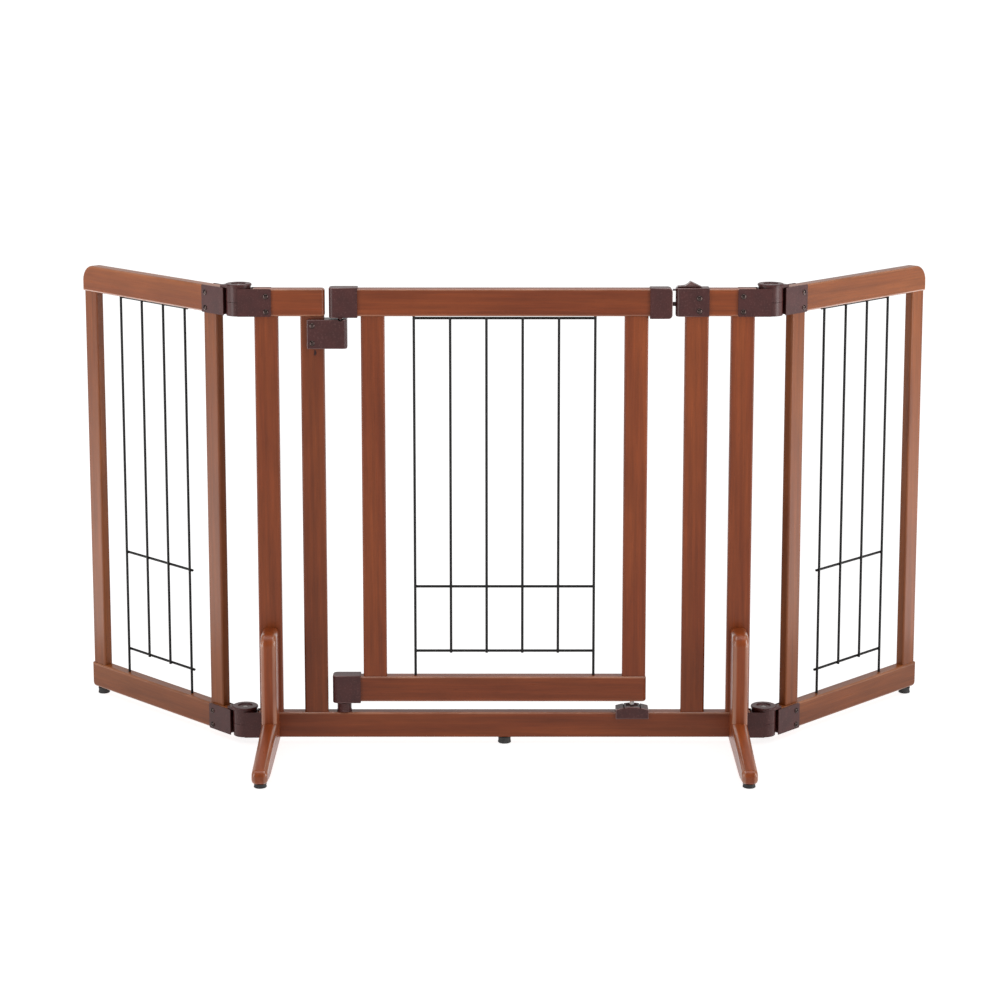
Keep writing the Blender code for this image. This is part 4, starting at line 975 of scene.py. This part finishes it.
def makeBracket():
    node = "door_pivot_bracket"
    low, high = nodeBox(node)
    half, corner = pivot["bracketHalf"], pivot["bracketCorner"]
    postLow, postHigh = nodeBox("left_inner_post")
    points = [(low[0], -half)]
    points += arcPoints((high[0] - corner, corner - half), corner, -90, 0, 10)
    points += arcPoints((high[0] - corner, half - corner), corner, 0, 90, 10)
    points.append((low[0], half))
    solid = outlineSolid(points, 2, low[2], high[2])
    soften(solid, pivot["bracketEdge"], 3, 50)
    foot, top = pivot["ridgeHalf"], high[2]
    groove = [(pivotX - foot, top + hair), (pivotX, top - pivot["grooveDepth"]), (pivotX + foot, top + hair),
              (pivotX, top + 0.002)]
    cuts = [boxSolid((low[0] - overcut, postLow[1] - fitGap, low[2] - overcut),
                     (postHigh[0] + fitGap, postHigh[1] + fitGap, top + overcut)),
            outlineSolid(groove, 1, -half - overcut, half + overcut),
            turnedSolid([(pinHole, top - pivot["holeDepth"]), (pinHole, top + 0.002)], pivotX, 0.0, 32)]
    for name in ("pivot_bracket_screw_upper", "pivot_bracket_screw_lower"):
        a, b = nodeBox(name)
        spot = ((a[0] + b[0]) / 2, -half, (a[2] + b[2]) / 2)
        screwSpots["centre_frame"].append((spot, (0.0, -1.0, 0.0)))
    makeNode(node, "moulded", combined(solid, cuts, "DIFFERENCE"), "centre_frame")


makeBracket()


def makeStud():
    node = "door_lower_pivot_stud"
    low, high = nodeBox(node)
    spigotTop, base = high[2], nodeBox("door_lower_pivot_block")[0][2] - 0.0005
    r, p = (high[0] - low[0]) / 2, pivot["pinRadius"]
    profile = [(r - 0.0004, low[2]), (r, low[2] + 0.0005), (r, low[2] + 0.0022),
               (r - 0.0006, low[2] + 0.0028), (r - 0.0006, base - 0.0012), (r - 0.0012, base - 0.0003),
               (r - 0.0022, base), (p, base), (p, spigotTop - 0.001), (p - 0.001, spigotTop)]
    makeNode(node, "moulded", turnedSolid(profile, pivotX, 0.0, 64), "centre_frame")
    node = "door_upper_pivot_pin"
    low, high = nodeBox(node)
    profile = [(p - 0.001, low[2]), (p, low[2] + 0.001), (p, high[2] - 0.001), (p - 0.001, high[2])]
    makeNode(node, "turned", turnedSolid(profile, pivotX, 0.0, 40), "centre_frame")


makeStud()
print("door pivots ready")


# lower catch

catch = {
    "rise": 0.0088,
    "edge": 0.0045,
    "softEdge": 0.0010,
    "steps": 48,
    "cutTop": 0.0098,
    "valley": (0.008, 0.0063, 0.009),        # half width, floor and half length
    "notch": (0.0125, 0.0016, 0.0052),       # place, half width and floor
}


def makeCatch():
    node = "lower_door_catch"
    low, high = nodeBox(node)
    base = sillHigh[2] + fitGap
    top, steps = base + catch["cutTop"], catch["steps"]
    points = [(low[0], low[2]), (high[0], low[2])]
    for step in range(steps + 1):
        along = step / steps
        rise = catch["edge"] + (catch["rise"] - catch["edge"]) * math.sin(math.pi * along)
        points.append((high[0] + (low[0] - high[0]) * along, base + rise))
    solid = outlineSolid(points, 1, low[1], high[1])
    soften(solid, catch["softEdge"], 3, 30)
    middle = (low[0] + high[0]) / 2
    width, depth, length = catch["valley"]
    valley = [(-width, top), (0.0, base + depth), (width, top)]
    cuts = [boxSolid((low[0] - overcut, -sleeve, low[2] - overcut), (high[0] + overcut, sleeve, base)),
            outlineSolid(valley, 0, middle - length, middle + length)]
    place, width, depth = catch["notch"]
    for x in (middle - place, middle + place):    # two narrow notches beside the middle lobe
        cuts.append(outlineSolid([(x - width, top), (x, base + depth), (x + width, top)], 1, -0.014, 0.014))
    makeNode(node, "moulded", combined(solid, cuts, "DIFFERENCE"), "centre_frame")
    node = "door_catch_pin"
    low, high = nodeBox(node)
    r, x = (high[0] - low[0]) / 2, (low[0] + high[0]) / 2
    tip = 0.38 * r
    profile = [(0.0, low[2])]
    profile += [(r - tip + a, b) for a, b in arcPoints((0.0, low[2] + tip), tip, -90, 0, 5)]
    profile += [(r, high[2] - 0.0012), (r * 0.86, high[2])]
    makePiece(node + "_turned", turnedSolid(profile, x, 0.0, 32), pinNylon, "door", [node])


makeCatch()
print("lower catch ready")


# latch

latch = {
    "capHalf": 0.0122,
    "capCorner": 0.006,
    "capEdge": 0.0012,
    "socketDepth": 0.0103,
    "keeperDepth": 0.006,
    "boltHalf": 0.003,
    "slide": 0.0004,
    "housingCorner": 0.007,
    "housingEdge": 0.0011,
    "cavityWall": 0.002,
    "screwX": 0.2887,
    "screwHeights": (0.686, 0.667),
    "tongueThickness": 0.002,
    "tongueHalf": 0.0045,
    "stemHalf": 0.0025,
    "stemLength": 0.0065,
    "travel": 0.010,
    "boltLength": 0.0155,
    "boltDrop": 0.0238,
    "tongueDrop": 0.0015,
    "boltEdge": 0.0006,
    "thumbEdge": 0.0005,
    "thumbInset": 0.003,       # the thumb rest's start on the housing
    "thumbFoot": 0.0085,
    "thumbRun": 0.0106,
    "thumbBase": 0.0020,
    "thumbRise": 0.0066,
    "thumbHollow": 1.7,
    "thumbSteps": 14,
}
topZ = nodeBox("door_top_rail")[1][2]
boltZ = topZ - latch["boltDrop"]
tongueTop = topZ - latch["tongueDrop"]
boltNose = nodeBox("latch_slider")[0][0]
shoulder = boltNose + latch["boltLength"]


def makeCap():
    node = "door_latch_cap"
    low, high = nodeBox(node)
    half, corner = latch["capHalf"], latch["capCorner"]
    points = [(low[0], low[2])]
    points += arcPoints((high[0] - corner, low[2] + corner), corner, -90, 0, 10)
    points += arcPoints((high[0] - corner, high[2] - corner), corner, 0, 90, 10)
    points.append((low[0], high[2]))
    solid = outlineSolid(points, 1, -half, half)
    roundEdges(solid, rimsBeside(solid, 1, low[0]), latch["capEdge"], 3)
    reach, socket, keeper = latch["boltHalf"] + latch["slide"], latch["socketDepth"], latch["keeperDepth"]
    cuts = [boxSolid((low[0] - overcut, -sleeve, headLow - fitGap), (low[0] + socket, sleeve, topZ + fitGap)),
            boxSolid((high[0] - keeper, -reach, boltZ - reach), (high[0] + overcut, reach, boltZ + reach))]
    makeNode(node, "moulded", combined(solid, cuts, "DIFFERENCE"), "door")


def makeHousing():
    node = "latch_housing"
    low, high = nodeBox(node)
    half, corner = (high[1] - low[1]) / 2, latch["housingCorner"]
    railStart = nodeBox("right_top_rail")[0][0]
    points = [(high[0], -half), (high[0], half)]
    points += arcPoints((low[0] + corner, half - corner), corner, 90, 180, 10)
    points += arcPoints((low[0] + corner, corner - half), corner, 180, 270, 10)
    solid = outlineSolid(points, 2, low[2], high[2])
    roundEdges(solid, rimsBeside(solid, 2, high[0]), latch["housingEdge"], 3)
    bore, stem = latch["boltHalf"] + latch["slide"], latch["stemHalf"] + latch["slide"]
    tongue, slotEnd = latch["tongueHalf"] + latch["slide"], shoulder + latch["travel"] + latch["slide"]
    start, slotStart = low[0] - overcut, shoulder - latch["stemLength"] - latch["slide"]
    cuts = [boxSolid((railStart - fitGap, -sleeve, low[2] - overcut),
                     (high[0] + overcut, sleeve, topZ + fitGap)),
            boxSolid((start, -bore, boltZ - bore), (railStart - latch["cavityWall"], bore, boltZ + bore)),
            boxSolid((slotStart, -stem, boltZ), (slotEnd, stem, high[2] + overcut)),
            boxSolid((start, -tongue, tongueTop - latch["tongueThickness"] - latch["slide"]),
                     (slotEnd, tongue, tongueTop + latch["slide"]))]
    makeNode(node, "moulded", combined(solid, cuts, "DIFFERENCE"), "centre_frame")
    for z in latch["screwHeights"]:
        screwSpots["centre_frame"].append(((latch["screwX"], -half, z), (0.0, -1.0, 0.0)))


def makeSlider():
    node = "latch_slider"
    low, high = nodeBox(node)
    housingLow, housingHigh = nodeBox("latch_housing")
    half, tongueHalf = latch["boltHalf"], latch["tongueHalf"]
    bolt = boxSolid((boltNose, -half, boltZ - half), (shoulder, half, boltZ + half))
    soften(bolt, latch["boltEdge"], 2)
    base, start = housingHigh[2] + fitGap, housingLow[0] + latch["thumbInset"]
    foot, flat, run = start + latch["thumbFoot"], base + latch["thumbBase"], latch["thumbRun"]
    outline = [(start, base), (high[0], base), (foot + run, flat + latch["thumbRise"])]
    for step in range(1, latch["thumbSteps"] + 1):
        left = 1 - step / latch["thumbSteps"]
        outline.append((foot + run * left, flat + latch["thumbRise"] * left ** latch["thumbHollow"]))
    outline.append((start, flat))
    thumb = soften(outlineSolid(outline, 1, low[1], high[1]), latch["thumbEdge"], 2, 32)
    stem = boxSolid((shoulder - latch["stemLength"], -latch["stemHalf"], boltZ),
                    (shoulder - hair, latch["stemHalf"], base + 0.001))
    tongue = boxSolid((boltNose, -tongueHalf, tongueTop - latch["tongueThickness"]),
                      (shoulder - 2 * hair, tongueHalf, tongueTop))
    makeNode(node, "moulded", combined(bolt, [stem, tongue, thumb], "UNION"), "latch")


makeCap()
makeHousing()
makeSlider()
frame["nodes"]["latch_spring"].data.materials.clear()
frame["nodes"]["latch_spring"].data.materials.append(pinSteel)
print("latch ready")


# screws

screw = {
    "Head radius": 0.0041,
    "Dome share": 0.50,
    "Slot width": 0.0012,
    "Slot length": 0.0044,
    "Slot depth": 0.0018,
}


def buildScrewTree():
    sizes = {word: "NodeSocketFloat" for word in screw}
    tree, given, out, sockets = newTree("screwHeads", {**sizes, "Material": "NodeSocketMaterial"})
    radius = given.outputs["Head radius"]
    ball = addNode(tree, "GeometryNodeMeshUVSphere", {"Segments": 32, "Rings": 14, "Radius": radius})
    flat = addNode(tree, "ShaderNodeCombineXYZ", {"X": 1.0, "Y": 1.0, "Z": given.outputs["Dome share"]})
    dome = addNode(tree, "GeometryNodeTransform", {"Geometry": ball.outputs[0], "Scale": flat.outputs[0]})
    top = calc(tree, "MULTIPLY", radius, given.outputs["Dome share"])
    lift = addNode(tree, "ShaderNodeCombineXYZ", {"Z": top})
    slot = [given.outputs["Slot " + word] for word in ("length", "width", "depth")]
    size = addNode(tree, "ShaderNodeCombineXYZ", dict(zip("XYZ", slot)))
    block = addNode(tree, "GeometryNodeMeshCube", {"Size": size.outputs[0]})
    carved = addNode(tree, "GeometryNodeMeshBoolean", {"Mesh 1": dome.outputs[0]}, operation="DIFFERENCE",
                     solver="EXACT")
    for turn in (0.0, math.pi / 2):
        cutter = addNode(tree, "GeometryNodeTransform", {
            "Geometry": block.outputs[0], "Translation": lift.outputs[0], "Rotation": (0.0, 0.0, turn)})
        tree.links.new(cutter.outputs[0], carved.inputs["Mesh 2"])
    facing = addNode(tree, "GeometryNodeInputNamedAttribute", {"Name": "facing"}, data_type="FLOAT_VECTOR")
    spin = addNode(tree, "GeometryNodeInputNamedAttribute", {"Name": "spin"}, data_type="FLOAT")
    turned = addNode(tree, "ShaderNodeCombineXYZ", {"Z": spin.outputs["Attribute"]})
    aimed = addNode(tree, "FunctionNodeAlignRotationToVector", {
        "Rotation": turned.outputs[0], "Vector": facing.outputs["Attribute"]}, axis="Z")
    heads = addNode(tree, "GeometryNodeInstanceOnPoints", {
        "Points": given.outputs["Geometry"], "Instance": carved.outputs[0], "Rotation": aimed.outputs[0]})
    endTree(tree, given, out, heads.outputs[0])
    return tree, sockets


screwTree, screwSockets = buildScrewTree()
for body, spots in screwSpots.items():
    verts = [spot for spot, facing in spots]
    facings = [part for spot, facing in spots for part in facing]
    spins = [draw.uniform(0.0, 1.5) for spot in spots]
    solid = grown(body + "Screws", verts, [], screwTree, screwSockets, {**screw, "Material": screwSteel},
                  [("facing", "FLOAT_VECTOR", facings), ("spin", "FLOAT", spins)])
    stoodFor = ["pivot_bracket_screw_upper", "pivot_bracket_screw_lower"] if body == "centre_frame" else []
    makePiece(body + "_screw_heads", solid, screwSteel, body, stoodFor)
print("screws ready")


# floor, lights and camera

studio = {
    "floorSize": 400.0,
    "backdropReach": 60.0,
    "backdropHeight": 90.0,
    "floorColour": (0.93, 0.93, 0.93, 1.0),
    "floorGlow": 0.82,
    "worldStrength": 0.36,
    "lights": (    # name, place, aim, size, watts
        ("overheadSoftbox", (0.0, -0.3, 3.6), (0.0, 0.0, 0.4), (4.0, 2.4), 105.0),
        ("backSoftbox", (0.0, 4.6, 2.0), (0.0, 0.0, 0.6), (8.0, 3.0), 36.0),
        ("rightSoftbox", (2.2, -0.9, 0.9), (0.0, 0.0, 0.4), (0.9, 1.75), 34.0),
        ("leftSoftbox", (-2.3, -1.2, 0.9), (0.0, 0.0, 0.4), (0.9, 1.75), 24.0),
        ("rightSweep", (2.05, -0.4, 0.02), (2.05, -0.4, 2.0), (2.3, 2.6), 34.0),
        ("leftSweep", (-2.05, -0.4, 0.02), (-2.05, -0.4, 2.0), (2.3, 2.6), 34.0),
    ),
}


def makeStudio():
    bpy.ops.mesh.primitive_plane_add(size=studio["floorSize"], location=(0.0, 0.0, 0.0))
    floor = bpy.context.object
    floor.name = "studioFloor"
    material, tree, shader = newMaterial("paleFloor")
    shader.inputs["Base Color"].default_value = studio["floorColour"]
    shader.inputs["Roughness"].default_value = 1.0
    shader.inputs["Specular IOR Level"].default_value = 0.0
    shader.inputs["Emission Color"].default_value = (1.0, 1.0, 1.0, 1.0)
    shader.inputs["Emission Strength"].default_value = studio["floorGlow"]
    floor.data.materials.append(material)
    floor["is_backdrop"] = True
    bpy.ops.mesh.primitive_cylinder_add(vertices=96, radius=studio["backdropReach"],
                                        depth=studio["backdropHeight"], end_fill_type="NOTHING")
    backdrop = bpy.context.object    # closes the horizon in level views, and lights nothing
    backdrop.name = "studioBackdrop"
    backdrop.visible_diffuse = backdrop.visible_glossy = backdrop.visible_transmission = False
    backdrop.visible_shadow = backdrop.visible_volume_scatter = False
    backdrop.data.materials.append(material)
    backdrop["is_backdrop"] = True
    world = bpy.data.worlds.new("studioWorld")
    world.use_nodes = True
    sky = world.node_tree.nodes["Background"]
    sky.inputs["Color"].default_value = (1.0, 1.0, 1.0, 1.0)
    sky.inputs["Strength"].default_value = studio["worldStrength"]
    bpy.context.scene.world = world
    lit = bpy.data.collections.new("litPieces")    # the lamps light the gate and leave the floor even
    for thing in bpy.context.scene.objects:
        if thing.type == "MESH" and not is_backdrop(thing):
            lit.objects.link(thing)
    for name, place, aim, size, watts in studio["lights"]:
        data = bpy.data.lights.new(name, "AREA")
        data.shape, data.size, data.size_y, data.energy = "RECTANGLE", size[0], size[1], watts
        light = bpy.data.objects.new(name, data)
        light.location = place
        light.rotation_euler = (Vector(aim) - Vector(place)).to_track_quat("-Z", "Y").to_euler()
        light.visible_camera = False
        light.light_linking.receiver_collection = lit
        bpy.context.scene.collection.objects.link(light)


camera = {
    "place": (-0.0068, -3.856, 1.250),
    "pitch": math.radians(9.47),
    "lens": 94.5,
    "sensor": 36.0,
    "shiftY": -0.15,
    "farthest": 500.0,
}


def makeCamera():
    data = bpy.data.cameras.new("viewCamera")
    data.lens, data.sensor_width = camera["lens"], camera["sensor"]
    data.shift_y, data.clip_end = camera["shiftY"], camera["farthest"]
    eye = bpy.data.objects.new("viewCamera", data)
    eye.location = camera["place"]
    eye.rotation_euler = (math.pi / 2 - camera["pitch"], 0.0, 0.0)
    bpy.context.scene.collection.objects.link(eye)
    bpy.context.scene.camera = eye


makeStudio()
makeCamera()
bpy.context.scene.view_settings.view_transform = "Standard"

print("scene ready")
